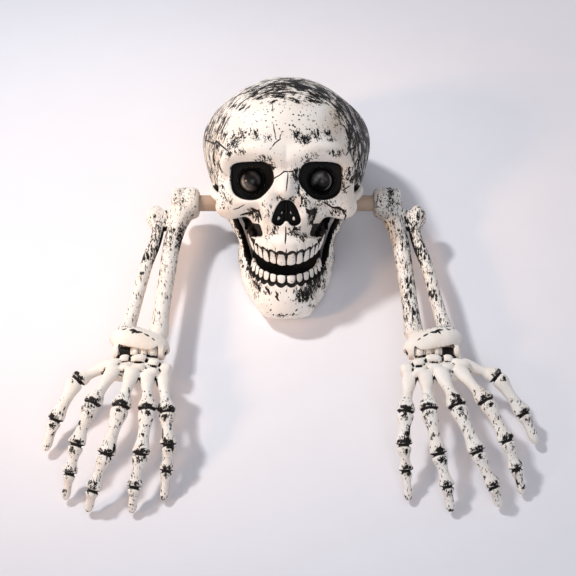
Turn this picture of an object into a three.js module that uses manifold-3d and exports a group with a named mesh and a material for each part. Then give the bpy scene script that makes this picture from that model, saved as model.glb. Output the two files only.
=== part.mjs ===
// A skeleton lawn stake: a reclined skull with lit eyes and a hinged jaw stands on a ground stake,
// and two bony arms pivot on the ends of a cross tube that runs through the skull.
// Millimetres, +Z up, the ground at Z = 0, the viewer at -Y, the origin where the stake enters the ground.
import * as THREE from 'three';
import { mergeVertices } from 'three/addons/utils/BufferGeometryUtils.js';
import Module from 'manifold-3d';

const wasm = await Module();
wasm.setup();
const { Manifold, Mesh: ManifoldMesh } = wasm;

// Driving dimensions of the skull
const skullWidth = 150;
const skullLength = 180;
const skullHeight = 214;
const skullWall = 2.4;
const skullTilt = THREE.MathUtils.degToRad(45);
const chinClearance = 3;
const seamGap = 0.3;

// Driving dimensions of the frame
const tubeDiameter = 15;
const tubeWall = 2;
const stakeSetback = 50;
const stakeLength = 185;
const stakeRibWidth = 22;
const stakeRibThickness = 4;
const spigotDiameter = 16;
const spigotLength = 34;
const socketWall = 3.5;
const plateThickness = 2.5;
const runnerHeight = 0.8;
const runnerWidth = 8;
const saddleWidth = 24;
const saddleWall = 3;

// Driving dimensions of the arms and hands
const shoulderGap = 7;
const elbowWidth = 25;
const elbowRadius = 14.5;
const tubeSeat = 18;
const forearmReach = 174;
const wristSpread = 32;
const wristHeight = 30;
const ulnaRadius = 7.6;
const radiusRadius = 5.7;
const wristWidth = 44;
const wristPinDiameter = 4;
const wristBarrelRadius = 6.5;
const handReach = 141;
const knuckleHeight = 42;
const knuckleRadius = 6.2;

// Driving dimensions of the eyes, the switch and the power supply
const lensDiameter = 21;
const eyeWall = 1.2;
const ledDiameter = 5;
const wireDiameter = 1.6;
const cellDiameter = 10.5;
const cellLength = 44.5;
const cellCount = 2;
const bayWall = 1.6;
const contactThickness = 0.6;
const doorThickness = 1.8;
const doorLap = 1.5;
const doorPinDiameter = 1.6;
const doorPinLength = 32;
const boardLength = 36;
const boardWidth = 22;
const boardThickness = 1.6;
const switchLength = 14;
const switchWidth = 7;
const switchHeight = 6;
const switchKnob = 3;
const switchTravel = 4;

// Fasteners and the clearances between pieces
const screwDiameter = 2.5;
const screwHeadDiameter = 5;
const clearance = 0.35;
const overrun = 60;
const weldDistance = 0.001;

// Values worked out from the driving dimensions
const halfWidth = skullWidth / 2;
const halfLength = skullLength / 2;
const halfHeight = skullHeight / 2;
const tubeRadius = tubeDiameter / 2;
const tubeBore = tubeRadius - tubeWall;
const chinShares = { forward: 0.645, up: -0.935 };
const chinDown = -chinShares.up * halfHeight * Math.cos(skullTilt);
const chinRaised = chinShares.forward * halfLength * Math.sin(skullTilt);
const tubeHeight = chinDown - chinRaised + chinClearance;
const elbowInner = halfWidth + shoulderGap;
const elbowCentre = elbowInner + elbowWidth / 2;
const tubeHalfLength = elbowInner + tubeSeat;
const screwRadius = screwDiameter / 2;
const screwHeadRadius = screwHeadDiameter / 2;
const screwHeadHeight = screwRadius;
const sideNames = [['left', -1], ['right', 1]];

const finish = (color, roughness, metalness = 0) => (
  new THREE.MeshStandardMaterial({ color, roughness, metalness })
);
const ivoryPlastic = finish(0xe9dfc9, 0.55);
const tubePlastic = finish(0xded0b4, 0.5);
const blackPlastic = finish(0x101010, 0.45);
const smokedLens = finish(0x0b0b0d, 0.06);
const ledPlastic = finish(0xe8e8e0, 0.2);
const wireSkin = finish(0x8e1c1c, 0.5);
const cellSleeve = finish(0x2f5d46, 0.4);
const springSteel = finish(0xb8b8b4, 0.3, 1);
const boardLaminate = finish(0x1d5b35, 0.5);

// The vector helpers take plain arrays of three numbers
const add = (a, b) => [a[0] + b[0], a[1] + b[1], a[2] + b[2]];
const sub = (a, b) => [a[0] - b[0], a[1] - b[1], a[2] - b[2]];
const times = (a, s) => [a[0] * s, a[1] * s, a[2] * s];
const dot = (a, b) => a[0] * b[0] + a[1] * b[1] + a[2] * b[2];
const cross = (a, b) => [a[1] * b[2] - a[2] * b[1], a[2] * b[0] - a[0] * b[2], a[0] * b[1] - a[1] * b[0]];
const length = (a) => Math.hypot(...a);
const unit = (a) => times(a, 1 / length(a));
const mix = (a, b, t) => a + (b - a) * t;

// Closed geometry in, a solid that can be joined and cut out
function solidOf(geometry, matrix = new THREE.Matrix4()) {
  let shape = geometry.clone();
  for (const name of ['normal', 'uv']) shape.deleteAttribute(name);
  shape.applyMatrix4(matrix);
  shape = mergeVertices(shape, weldDistance);
  const places = new Float32Array(shape.attributes.position.array);
  const corners = new Uint32Array(shape.index.array);
  return new Manifold(new ManifoldMesh({ numProp: 3, vertProperties: places, triVerts: corners }));
}

function geometryOf(solid) {
  const mesh = solid.getMesh();
  const shape = new THREE.BufferGeometry();
  shape.setAttribute('position', new THREE.BufferAttribute(new Float32Array(mesh.vertProperties), 3));
  shape.setIndex(new THREE.BufferAttribute(new Uint32Array(mesh.triVerts), 1));
  return shape;
}

const joined = (...solids) => solids.reduce((a, b) => a.add(b));
const cut = (solid, ...tools) => tools.reduce((a, b) => a.subtract(b), solid);

function block(size, centre) {
  return solidOf(new THREE.BoxGeometry(...size), new THREE.Matrix4().makeTranslation(...centre));
}

// A straight rod between two points, tapered where the radii differ
function rod(from, to, radius, sides = 16, endRadius = radius) {
  const along = new THREE.Vector3(...sub(to, from));
  const turn = new THREE.Quaternion().setFromUnitVectors(new THREE.Vector3(0, 1, 0), along.clone().normalize());
  const middle = new THREE.Vector3(...times(add(from, to), 1 / 2));
  const place = new THREE.Matrix4().compose(middle, turn, new THREE.Vector3(1, 1, 1));
  return solidOf(new THREE.CylinderGeometry(endRadius, radius, along.length(), sides), place);
}

// A profile of [radius, height] pairs turned about an axis through the origin
function turned(profile, origin, axis, sides = 18) {
  const points = profile.map(([radius, height]) => new THREE.Vector2(radius, height));
  const turn = new THREE.Quaternion();
  turn.setFromUnitVectors(new THREE.Vector3(0, 1, 0), new THREE.Vector3(...axis));
  const place = new THREE.Matrix4().compose(new THREE.Vector3(...origin), turn, new THREE.Vector3(1, 1, 1));
  return outward(new THREE.LatheGeometry(points, sides), place);
}

// A closed geometry whose faces may point in comes out with its faces pointing out
function outward(geometry, matrix = new THREE.Matrix4()) {
  let shape = geometry.clone();
  for (const name of ['normal', 'uv']) shape.deleteAttribute(name);
  shape.applyMatrix4(matrix);
  shape = mergeVertices(shape, weldDistance);
  const index = shape.index.array;
  const point = (i) => [0, 1, 2].map((axis) => shape.attributes.position.array[3 * i + axis]);
  let volume = 0;
  for (let i = 0; i < index.length; i += 3) {
    volume += dot(point(index[i]), cross(point(index[i + 1]), point(index[i + 2])));
  }
  if (volume < 0) {
    for (let i = 0; i < index.length; i += 3) [index[i], index[i + 1]] = [index[i + 1], index[i]];
  }
  return solidOf(shape);
}

// A closed skin over a list of rings that all have the same number of points
function loft(rings) {
  const sides = rings[0].length;
  const places = rings.flat();
  const faces = [];
  for (let row = 0; row + 1 < rings.length; row += 1) {
    for (let side = 0; side < sides; side += 1) {
      const next = (side + 1) % sides;
      const [a, b] = [row * sides + side, row * sides + next];
      const [c, d] = [b + sides, a + sides];
      const short = length(sub(places[a], places[c])) < length(sub(places[b], places[d]));
      faces.push(...(short ? [a, b, c, a, c, d] : [a, b, d, b, c, d]));
    }
  }
  for (const [start, flip] of [[0, true], [(rings.length - 1) * sides, false]]) {
    const middle = rings[start ? rings.length - 1 : 0].reduce(add).map((value) => value / sides);
    places.push(middle);
    const hub = places.length - 1;
    for (let side = 0; side < sides; side += 1) {
      const [a, b] = [start + side, start + ((side + 1) % sides)];
      faces.push(...(flip ? [b, a, hub] : [a, b, hub]));
    }
  }
  const shape = new THREE.BufferGeometry();
  shape.setAttribute('position', new THREE.BufferAttribute(new Float32Array(places.flat()), 3));
  shape.setIndex(faces);
  return outward(shape);
}

// One ring of a loft: a rounded section with the two given half axes
function section(centre, across, up, sides, squareness = 1) {
  const bend = (value) => Math.sign(value) * Math.abs(value) ** squareness;
  return Array.from({ length: sides }, (_, i) => {
    const angle = (2 * Math.PI * i) / sides;
    return add(centre, add(times(across, bend(Math.cos(angle))), times(up, bend(Math.sin(angle)))));
  });
}

// A round bone along points of [place, radius], whose rings stand square to the path
function bone(stations, sides = 8, flatness = 1) {
  const rings = stations.map(([place, radius], i) => {
    const before = stations[Math.max(i - 1, 0)][0];
    const after = stations[Math.min(i + 1, stations.length - 1)][0];
    const along = unit(sub(after, before));
    const level = unit(cross(along, Math.abs(along[2]) < Math.SQRT1_2 ? [0, 0, 1] : [0, 1, 0]));
    return section(place, times(level, radius), times(cross(level, along), radius * flatness), sides);
  });
  return loft(rings);
}

// Distances to simple forms, negative inside, and their rounded union and cut
function toEllipsoid(p, centre, radii) {
  const q = sub(p, centre);
  const near = Math.hypot(q[0] / radii[0], q[1] / radii[1], q[2] / radii[2]);
  const steep = Math.hypot(q[0] / radii[0] ** 2, q[1] / radii[1] ** 2, q[2] / radii[2] ** 2);
  return steep > 0 ? (near * (near - 1)) / steep : -Math.min(...radii);
}

function toChain(p, stations) {
  let nearest = Infinity;
  for (let i = 0; i + 1 < stations.length; i += 1) {
    const [a, ra] = stations[i];
    const [b, rb] = stations[i + 1];
    const run = sub(b, a);
    const t = Math.min(Math.max(dot(sub(p, a), run) / dot(run, run), 0), 1);
    nearest = Math.min(nearest, length(sub(p, add(a, times(run, t)))) - mix(ra, rb, t));
  }
  return nearest;
}

function softUnion(a, b, blend) {
  const near = Math.max(blend - Math.abs(a - b), 0) / blend;
  return Math.min(a, b) - (near * near * blend) / 4;
}

const softCut = (a, b, blend) => -softUnion(-a, b, blend);

// The skull's own frame has X across, -Y forward and +Z up the face, with its origin on the tube axis.
// Places in the share tables are [across, forward, up] of the half width, half length and half height.
const inSkull = ([x, f, u]) => [x * halfWidth, -f * halfLength, u * halfHeight];
const skullRadii = ([x, f, u]) => [x * halfWidth, f * halfLength, u * halfHeight];
const skullStations = (shares) => shares.map(([x, f, u, r]) => [inSkull([x, f, u]), r * halfWidth]);

const vaultShares = [
  { place: [0, -0.18, 0.42], radii: [1.01, 1, 0.69], blend: 0.1 },
  { place: [0, 0.22, 0.45], radii: [0.82, 0.64, 0.54], blend: 0.16 },
  { place: [0.55, -0.36, 0.55], radii: [0.49, 0.42, 0.32], blend: 0.2 },
];
const faceFormShares = [
  { place: [0.65, 0.59, -0.02], radii: [0.2, 0.13, 0.105], blend: 0.1 },
  { place: [0, 0.51, -0.12], radii: [0.42, 0.41, 0.28], blend: 0.12 },
  { place: [0, 0.51, -0.3], radii: [0.36, 0.36, 0.13], blend: 0.08 },
  { place: [0, 0.5, 0.14], radii: [0.66, 0.3, 0.3], blend: 0.14 },
];
const faceRidgeShares = [
  { blend: 0.16, path: [
    [0.09, 0.84, 0.4, 0.065], [0.29, 0.85, 0.45, 0.07], [0.51, 0.785, 0.455, 0.065], [0.66, 0.68, 0.41, 0.065],
    [0.73, 0.6, 0.34, 0.065], [0.76, 0.545, 0.225, 0.065], [0.71, 0.59, 0.1, 0.075],
  ] },
  { blend: 0.08, path: [
    [0.69, 0.59, 0.09, 0.08], [0.59, 0.67, 0.05, 0.07], [0.44, 0.745, 0.03, 0.065],
    [0.27, 0.79, 0.056, 0.065], [0.2, 0.8, 0.11, 0.065],
  ] },
  { path: [[0, 0.79, 0.33, 0.12], [0, 0.87, 0.13, 0.1]], blend: 0.08 },
  { path: [[0.12, 0.78, 0.26, 0.08], [0.2, 0.8, 0.056, 0.085], [0.23, 0.82, -0.075, 0.085]], blend: 0.08 },
  { path: [[0.35, 0.84, -0.2, 0.07], [0.33, 0.83, -0.33, 0.07]], blend: 0.08 },
];
const hollowedShares = [
  { place: [0.42, 0.86, -0.1], radii: [0.13, 0.12, 0.1], blend: 0.08 },
  { place: [0.92, 0.45, 0.27], radii: [0.13, 0.1, 0.13], blend: 0.08 },
];
const cheekRecessShares = { place: [0.55, 0.56, -0.3], radii: [0.21, 0.46, 0.18] };
const archShares = [
  [0.6, 0.6, -0.02, 0.07], [0.7, 0.5, 0.02, 0.06], [0.81, 0.38, 0.05, 0.055], [0.885, 0.26, 0.085, 0.05],
  [0.905, 0.09, 0.125, 0.05], [0.88, -0.07, 0.135, 0.055], [0.8, -0.2, 0.135, 0.07],
];

function vaultField(p) {
  const q = [Math.abs(p[0]), p[1], p[2]];
  let distance = Infinity;
  for (const { place, radii, blend } of vaultShares) {
    const form = toEllipsoid(q, inSkull(place), skullRadii(radii));
    distance = distance === Infinity ? form : softUnion(distance, form, blend * halfWidth);
  }
  return distance;
}

function skullField(p) {
  const q = [Math.abs(p[0]), p[1], p[2]];
  let distance = vaultField(p);
  for (const { place, radii, blend } of faceFormShares) {
    distance = softUnion(distance, toEllipsoid(q, inSkull(place), skullRadii(radii)), blend * halfWidth);
  }
  for (const { path, blend } of faceRidgeShares) {
    distance = softUnion(distance, toChain(q, skullStations(path)), blend * halfWidth);
  }
  for (const { place, radii, blend } of hollowedShares) {
    distance = softCut(distance, toEllipsoid(q, inSkull(place), skullRadii(radii)), blend * halfWidth);
  }
  return distance;
}

// The skull is hollow behind its face too, to hold the eyes
const faceHollowShares = { place: [0, 0.38, 0.02], radii: [0.42, 0.32, 0.34], blend: 0.15 };

function hollowField(p, wall) {
  const { place, radii, blend } = faceHollowShares;
  return softUnion(vaultField(p), toEllipsoid(p, inSkull(place), skullRadii(radii)), blend * halfWidth) + wall;
}

// A skin whose points lie where rays from an inner point leave the field, with its pole at the face
const skinCentreShares = [0, 0.1, 0.2];
const faceRowShare = 0.68;
const faceAngleShare = 0.5;

function skin(field, rows, columns) {
  const centre = inSkull(skinCentreShares);
  const reach = skullHeight;
  const leave = (direction) => {
    let distance = reach;
    for (let step = 0; step < 90; step += 1) {
      const value = field(add(centre, times(direction, distance)));
      if (value < weldDistance) break;
      distance -= value * 0.7;
    }
    return distance;
  };
  const turnOf = (row) => {
    const share = row / rows;
    const angle = share < faceRowShare
      ? (share / faceRowShare) * faceAngleShare
      : faceAngleShare + ((share - faceRowShare) / (1 - faceRowShare)) * (1 - faceAngleShare);
    return angle * Math.PI;
  };
  const wayOf = (row, column) => {
    const [tilt, around] = [turnOf(row), (2 * Math.PI * column) / columns];
    return [Math.sin(tilt) * Math.sin(around), -Math.cos(tilt), Math.sin(tilt) * Math.cos(around)];
  };
  const inner = Array.from({ length: rows - 1 }, (_, i) => i + 1);
  const around = Array.from({ length: columns }, (_, i) => i);
  const reached = inner.map((row) => around.map((column) => leave(wayOf(row, column))));
  const smooth = (rings) => rings.map((ring, i) => ring.map((distance, column) => {
    const beside = ring[(column + 1) % columns] + ring[(column + columns - 1) % columns];
    const ends = rings[Math.max(i - 1, 0)][column] + rings[Math.min(i + 1, inner.length - 1)][column];
    return distance / 2 + (beside + ends) / 8;
  }));
  const rings = smooth(smooth(smooth(reached))).map((ring, i) => ring.map(
    (distance, column) => add(centre, times(wayOf(inner[i], column), distance)),
  ));
  return loft(rings);
}

// Where the pieces of the skull stand in the whole object
const skullPlace = new THREE.Matrix4().makeTranslation(0, -stakeSetback, tubeHeight)
  .multiply(new THREE.Matrix4().makeRotationX(-skullTilt));
const skullFromGround = skullPlace.clone().invert();
const groundCut = solidOf(
  new THREE.BoxGeometry(2 * skullLength, 3 * skullLength, overrun),
  skullFromGround.clone().multiply(new THREE.Matrix4().makeTranslation(0, 0, -overrun / 2)),
);

const seamShares = [[0.05, 1.3], [0.28, 0.56], [0.33, 0.33], [0.09, 0.2], [-0.2, 0.13], [-0.22, -0.7]];

// Everything in front of the seam, shifted back or forward by half the seam's gap
function frontOfSeam(shift) {
  const outline = new THREE.Shape();
  const points = seamShares.map(([f, u]) => [f * halfLength + shift, u * halfHeight]);
  outline.moveTo(...points[0]);
  for (const point of points.slice(1)) outline.lineTo(...point);
  outline.lineTo(2 * halfLength, points.at(-1)[1]);
  outline.lineTo(2 * halfLength, points[0][1]);
  outline.closePath();
  const slab = new THREE.ExtrudeGeometry(outline, { depth: 2 * skullWidth, bevelEnabled: false });
  const place = new THREE.Matrix4().makeBasis(
    new THREE.Vector3(0, -1, 0), new THREE.Vector3(0, 0, 1), new THREE.Vector3(-1, 0, 0),
  );
  place.setPosition(skullWidth, 0, 0);
  return outward(slab, place);
}

// Eye sockets: a rounded pocket whose flat floor has a hole for the eye cup
const socketShares = { place: [0.405, 0.78, 0.2], radii: [0.27, 0.3, 0.17] };
const socketFloorShare = 0.58;
const eyeAcrossShare = 0.42;
const cupRadius = lensDiameter / 2 + clearance + eyeWall;
const cupFlangeRadius = cupRadius + eyeWall;
const socketFloor = -socketFloorShare * halfLength;

const eyePlace = (side) => [side * eyeAcrossShare * halfWidth, 0, inSkull(socketShares.place)[2]];
const cupBack = -socketFloor - skullWall - 2 * clearance - 2 * eyeWall;

const alongEye = (side, from, to, radius, sides = 18) => rod(
  add(eyePlace(side), [0, -from, 0]), add(eyePlace(side), [0, -to, 0]), radius, sides,
);

// The room behind the socket floor for the cup's flange and the lamp
const eyeRoom = (side) => joined(
  alongEye(side, cupBack - eyeWall, -socketFloor - skullWall, cupFlangeRadius + clearance),
  alongEye(side, cupBack - 4 * ledDiameter, -socketFloor - skullWall, ledDiameter + clearance, 10),
);

// A solid oval on one side of the skull, from a row of shares
function oval(side, shares, grow = 0) {
  const radii = skullRadii(shares.radii).map((radius) => radius + grow);
  const place = inSkull(shares.place);
  return solidOf(new THREE.SphereGeometry(1, 16, 10), new THREE.Matrix4()
    .makeTranslation(side * place[0], place[1], place[2]).scale(new THREE.Vector3(...radii)));
}

function socketForm(side, grow) {
  return cut(oval(side, socketShares, grow), block(
    [skullWidth, halfLength, skullHeight],
    [0, socketFloor + grow + halfLength / 2, 0],
  ));
}

// The nose opening is pear shaped, with a thin septum on its middle line
const noseShares = [
  [0, 0.043], [0.055, 0.036], [0.1, 0.002], [0.135, -0.045], [0.163, -0.1], [0.168, -0.132], [0.145, -0.155],
  [0.1, -0.167], [0.05, -0.158],
];
const noseFloorShare = 0.74;
const septumWidthShare = 0.028;

function noseForm(grow) {
  const outline = new THREE.Shape();
  const sides = [...noseShares, ...noseShares.slice(1).reverse().map(([x, u]) => [-x, u])];
  const middle = (noseShares[0][1] + noseShares.at(-1)[1]) / 2;
  const points = sides.map(([x, u]) => {
    const place = [x * halfWidth, (u - middle) * halfHeight];
    const size = Math.hypot(...place);
    return [place[0] * (1 + grow / size), place[1] * (1 + grow / size) + middle * halfHeight];
  });
  outline.moveTo(...points[0]);
  for (const point of points.slice(1)) outline.lineTo(...point);
  outline.closePath();
  const depth = (1 - noseFloorShare) * halfLength + grow;
  const turn = new THREE.Matrix4().makeRotationX(Math.PI / 2);
  turn.setPosition(0, -noseFloorShare * halfLength + grow, 0);
  return outward(new THREE.ExtrudeGeometry(outline, { depth, bevelEnabled: false }), turn);
}

// Teeth stand on a gum ridge along half an ellipse, on a bite line that rises towards the back
const toothWidthShares = [0.115, 0.095, 0.105, 0.1, 0.1, 0.13, 0.12];
const toothRingShares = [
  { root: 0, wide: 0.62, thick: 0.3 }, { root: 0.25, wide: 0.92, thick: 0.5 },
  { root: 0.7, wide: 1, thick: 0.75 }, { root: 1.3, wide: 0.8, thick: 0.7 },
];
const biteShares = { halfWidth: 0.43, depth: 0.49, back: 0.4, front: -0.5, rise: 0.38, lowerInset: 0.035 };
const toothHeightShare = 0.12;
const gumShares = { half: 0.05, thick: 0.075, below: 1.2 };
const gumAngles = [-1.45, -1.1, -0.7, -0.25, 0.25, 0.7, 1.1, 1.45];

// A place on the bite line of the upper jaw, or of the lower one where a gap is given
function onBite(angle, gap) {
  const inset = gap ? biteShares.lowerInset : 0;
  const across = (biteShares.halfWidth - inset) * halfWidth;
  const deep = (biteShares.depth - inset) * halfLength;
  const forward = biteShares.back * halfLength + deep * Math.cos(angle);
  const rise = (deep - deep * Math.cos(angle)) * biteShares.rise;
  return {
    place: [across * Math.sin(angle), -forward, biteShares.front * halfHeight + rise - gap],
    heading: Math.atan2(deep * Math.sin(angle), across * Math.cos(angle)),
  };
}

function biteAngle(travelled, gap) {
  const step = 0.01;
  let angle = 0;
  let run = 0;
  while (run < travelled) {
    run += length(sub(onBite(angle + step, gap).place, onBite(angle, gap).place));
    angle += step;
  }
  return angle;
}

function toothRow(rootWay, gap) {
  const height = toothHeightShare * halfHeight;
  const solids = [];
  let travelled = 0;
  for (const widthShare of toothWidthShares) {
    const half = (widthShare * halfWidth) / 2;
    const angle = biteAngle(travelled + half, gap);
    travelled += 2 * half;
    for (const side of [-1, 1]) {
      const { place, heading } = onBite(side * angle, gap);
      solids.push(loft(toothRingShares.map(({ root, wide, thick }) => section(
        add(place, [0, 0, rootWay * root * height]),
        times([Math.cos(heading), Math.sin(heading), 0], wide * half),
        times([Math.sin(heading), -Math.cos(heading), 0], thick * half), 6, 0.8,
      ))));
    }
  }
  const ridge = gumAngles.map((angle) => {
    const { place, heading } = onBite(angle, gap);
    return section(
      add(place, [0, 0, rootWay * gumShares.below * height]),
      times([Math.sin(heading), -Math.cos(heading), 0], gumShares.thick * halfWidth),
      [0, 0, gumShares.half * halfHeight], 8, 0.8,
    );
  });
  return joined(loft(ridge), ...solids);
}

// A wall behind the teeth closes the mouth, narrow between the jaw's sides and wider above them
const throatForwardShare = 0.2;
const throatShares = [{ half: 0.32, from: -0.64, to: -0.37 }, { half: 0.42, from: -0.47, to: -0.17 }];
const throatWall = () => joined(...throatShares.map(({ half, from, to }) => block(
  [2 * half * halfWidth, 1.25 * skullWall, (to - from) * halfHeight],
  [0, -throatForwardShare * halfLength - 0.625 * skullWall, ((to + from) / 2) * halfHeight],
)));

// Both halves of the skull come from one hollow form
const skullTubeHole = rod([-skullWidth, 0, 0], [skullWidth, 0, 0], tubeRadius + clearance, 16);
const jawRingRadius = tubeRadius + clearance + skullWall * 1.3;
const jawRingInner = 0.735 * halfWidth;
const jawRingWidth = 0.075 * halfWidth;
const jawPocket = (side, grow) => rod(
  [side * (jawRingInner - clearance - grow), 0, 0], [side * skullWidth, 0, 0],
  jawRingRadius + 2 * clearance + grow, 16,
);

function skullBody() {
  const mirrored = (side) => ([p, r]) => [[side * p[0], p[1], p[2]], r];
  const archOf = (side) => bone(skullStations(archShares).map(mirrored(side)), 8, 1.15);
  const recess = (side) => oval(side, cheekRecessShares);
  const outer = joined(
    cut(skin(skullField, 30, 38), jawPocket(-1, 0), jawPocket(1, 0), recess(-1), recess(1)),
    archOf(-1), archOf(1), toothRow(1, 0), throatWall(),
  );
  const inside = skin((p) => skullField(p) + skullWall, 20, 24);
  const rooms = joined(eyeRoom(-1), eyeRoom(1)).intersect(inside);
  const hollow = cut(
    joined(skin((p) => hollowField(p, skullWall), 14, 22), rooms),
    socketForm(-1, skullWall), socketForm(1, skullWall), noseForm(skullWall),
    jawPocket(-1, skullWall), jawPocket(1, skullWall),
  );
  const floorHole = (side) => alongEye(
    side, -socketFloor - 2 * skullWall, -socketFloor + skullWall, cupRadius + clearance,
  );
  const septum = block(
    [septumWidthShare * halfWidth, 0.1 * halfLength, 0.2 * halfHeight],
    [0, -(noseFloorShare + 0.045) * halfLength, -0.06 * halfHeight],
  );
  const opened = cut(
    outer, hollow, socketForm(-1, 0), socketForm(1, 0), noseForm(0), floorHole(-1), floorHole(1),
    skullTubeHole, groundCut,
  );
  return cut(joined(opened, septum.intersect(outer), ...screwBosses(outer)), ...screwPilots());
}

// The jaw: a U of bone with upright branches that end in rings round the cross tube
const jawBodyShares = [
  { place: [0, 0.73, -0.785], half: 0.15, thick: 0.1 },
  { place: [0.21, 0.695, -0.78], half: 0.145, thick: 0.09 },
  { place: [0.37, 0.55, -0.71], half: 0.125, thick: 0.08 },
  { place: [0.47, 0.35, -0.6], half: 0.11, thick: 0.08 },
  { place: [0.52, 0.17, -0.46], half: 0.1, thick: 0.07 },
];
const jawBranchShares = [
  { place: [0.52, 0.2, -0.5], depth: 0.1, thick: 0.06 },
  { place: [0.53, 0.15, -0.36], depth: 0.155, thick: 0.055 },
  { place: [0.61, 0.11, -0.2], depth: 0.14, thick: 0.05 },
  { place: [0.75, 0.06, -0.08], depth: 0.085, thick: 0.045 },
];
const coronoidShares = [[0.6, 0.2, -0.22, 0.06], [0.69, 0.25, -0.06, 0.045], [0.75, 0.25, -0.01, 0.03]];
const biteGapShare = 0.075;

function mandible() {
  const ringOf = ({ place, half, thick }, side, heading) => section(
    inSkull([side * place[0], place[1], place[2]]),
    times([Math.cos(heading), Math.sin(heading), 0], thick * halfWidth), [0, 0, half * halfHeight], 10, 0.85,
  );
  const stations = [
    ...jawBodyShares.slice(1).reverse().map((share) => [share, -1]),
    ...jawBodyShares.map((share) => [share, 1]),
  ];
  const middles = stations.map(([{ place }, side]) => inSkull([side * place[0], place[1], place[2]]));
  const body = loft(stations.map(([share, side], i) => {
    const before = middles[Math.max(i - 1, 0)];
    const after = middles[Math.min(i + 1, middles.length - 1)];
    const heading = Math.atan2(after[1] - before[1], after[0] - before[0]) + Math.PI / 2;
    return ringOf(share, side, heading);
  }));
  const solids = [body, toothRow(-1, biteGapShare * halfHeight)];
  for (const side of [-1, 1]) {
    const branch = jawBranchShares.map(({ place, depth, thick }) => section(
      inSkull([side * place[0], place[1], place[2]]),
      [thick * halfWidth, 0, 0], [0, depth * halfLength, 0], 10, 0.8,
    ));
    const coronoid = skullStations(coronoidShares).map(([p, r]) => [[side * p[0], p[1], p[2]], r]);
    const ring = rod(
      [side * jawRingInner, 0, 0], [side * (jawRingInner + jawRingWidth), 0, 0], jawRingRadius, 16,
    );
    solids.push(loft(branch), bone(coronoid, 8), ring);
  }
  return cut(joined(...solids), skullTubeHole);
}

// A place in the whole object: across, forward of the cross tube, and above the ground
const ground = (x, forward, z) => [x, -stakeSetback - forward, z];
const stakeForward = -stakeSetback;
const runnerPlaceShare = 0.5;
const runnerLengthShare = 0.25;
const plateFloor = runnerHeight;
const plateTop = plateFloor + plateThickness;
const spigotRadius = spigotDiameter / 2;
const socketRadius = spigotRadius + clearance + socketWall;
const socketTop = plateTop + spigotLength;

// The battery bay behind the socket, with a hinged door in the underside
const cellRadius = cellDiameter / 2;
const bayLength = cellLength + 2 * contactThickness + 4 * clearance;
const bayWidth = cellCount * (cellDiameter + clearance) + clearance;
const bayFront = stakeForward - socketRadius - bayWall - clearance;
const bayMiddle = bayFront - bayWidth / 2;
const doorTop = plateFloor + doorThickness;
const bayCeiling = doorTop + cellDiameter + 2 * clearance;
const bayTop = bayCeiling + bayWall;
const doorPinRadius = doorPinDiameter / 2;
const barrelRadius = doorPinRadius + clearance + doorThickness * 0.7;
const barrelLength = 0.6 * doorPinLength;
const hingeForward = bayMiddle - bayWidth / 2 - doorLap - clearance - barrelRadius;
const hingeHeight = plateFloor + barrelRadius;

// The saddle that carries the cross tube, and its cap
const saddleRadius = tubeRadius + clearance + saddleWall;
const saddleScrewForward = saddleRadius + screwHeadRadius;
const saddleReach = saddleScrewForward + screwHeadRadius;
const saddleEar = 1.5 * saddleWall;
const capEarTop = tubeHeight + clearance + saddleWall;

// The slide switch beside the saddle
const switchAcross = saddleWidth / 2 + 1.5 * switchWidth;
const switchForward = stakeForward + socketRadius + switchLength / 2;
const channelLength = switchLength - switchKnob - clearance;
const sliderLength = channelLength - switchTravel - 2 * clearance;

// The screws that hold the crown shell down on the base plate, inside the hollow's outline
const skullFloor = solidOf(geometryOf(skin((p) => hollowField(p, skullWall + clearance), 14, 22)), skullPlace);
const floorLine = skullFloor.intersect(
  block([2 * skullWidth, 3 * skullLength, clearance], ground(0, 0, plateFloor)),
).boundingBox();
const shellScrewForwardShares = [0.31, 0.84];
const shellScrewLength = 11;
const bossWidth = 3 * screwDiameter;
const shellScrewPlaces = shellScrewForwardShares.flatMap((share) => {
  const forward = -stakeSetback - mix(floorLine.min[1], floorLine.max[1], share);
  const ends = [-1, 1].map((way) => forward + way * bossWidth / 2);
  const half = Math.min(...ends.map(plateHalfWidth));
  return [-1, 1].map((side) => [side * (half - screwHeadRadius - clearance), forward]);
});

function plateHalfWidth(forward) {
  const slice = block([2 * skullWidth, clearance, clearance], ground(0, forward, plateFloor));
  return skullFloor.intersect(slice).boundingBox().max[0];
}

function screwBosses(outer) {
  return shellScrewPlaces.map(([x, forward]) => {
    const reach = bossWidth + 4 * skullWall;
    const middle = Math.abs(x) - bossWidth / 2 + reach / 2;
    const height = shellScrewLength + skullWall;
    const boss = block(
      [reach, bossWidth, height], ground(Math.sign(x) * middle, forward, plateTop + clearance + height / 2),
    );
    return solidOf(geometryOf(boss), skullFromGround).intersect(outer);
  });
}

function screwPilots() {
  const top = plateFloor + shellScrewLength + clearance;
  return shellScrewPlaces.map(([x, forward]) => {
    const pilot = screwHole(x, forward, 0, top);
    return solidOf(geometryOf(pilot), skullFromGround);
  });
}

// A prism across the object, from an outline of [forward, height] points
function acrossPrism(points, width) {
  const outline = new THREE.Shape();
  outline.moveTo(...points[0]);
  for (const point of points.slice(1)) outline.lineTo(...point);
  outline.closePath();
  const slab = new THREE.ExtrudeGeometry(outline, { depth: width, bevelEnabled: false });
  const place = new THREE.Matrix4().makeBasis(
    new THREE.Vector3(0, -1, 0), new THREE.Vector3(0, 0, 1), new THREE.Vector3(1, 0, 0),
  );
  place.setPosition(...ground(-width / 2, 0, 0));
  return outward(slab, place);
}

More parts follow.
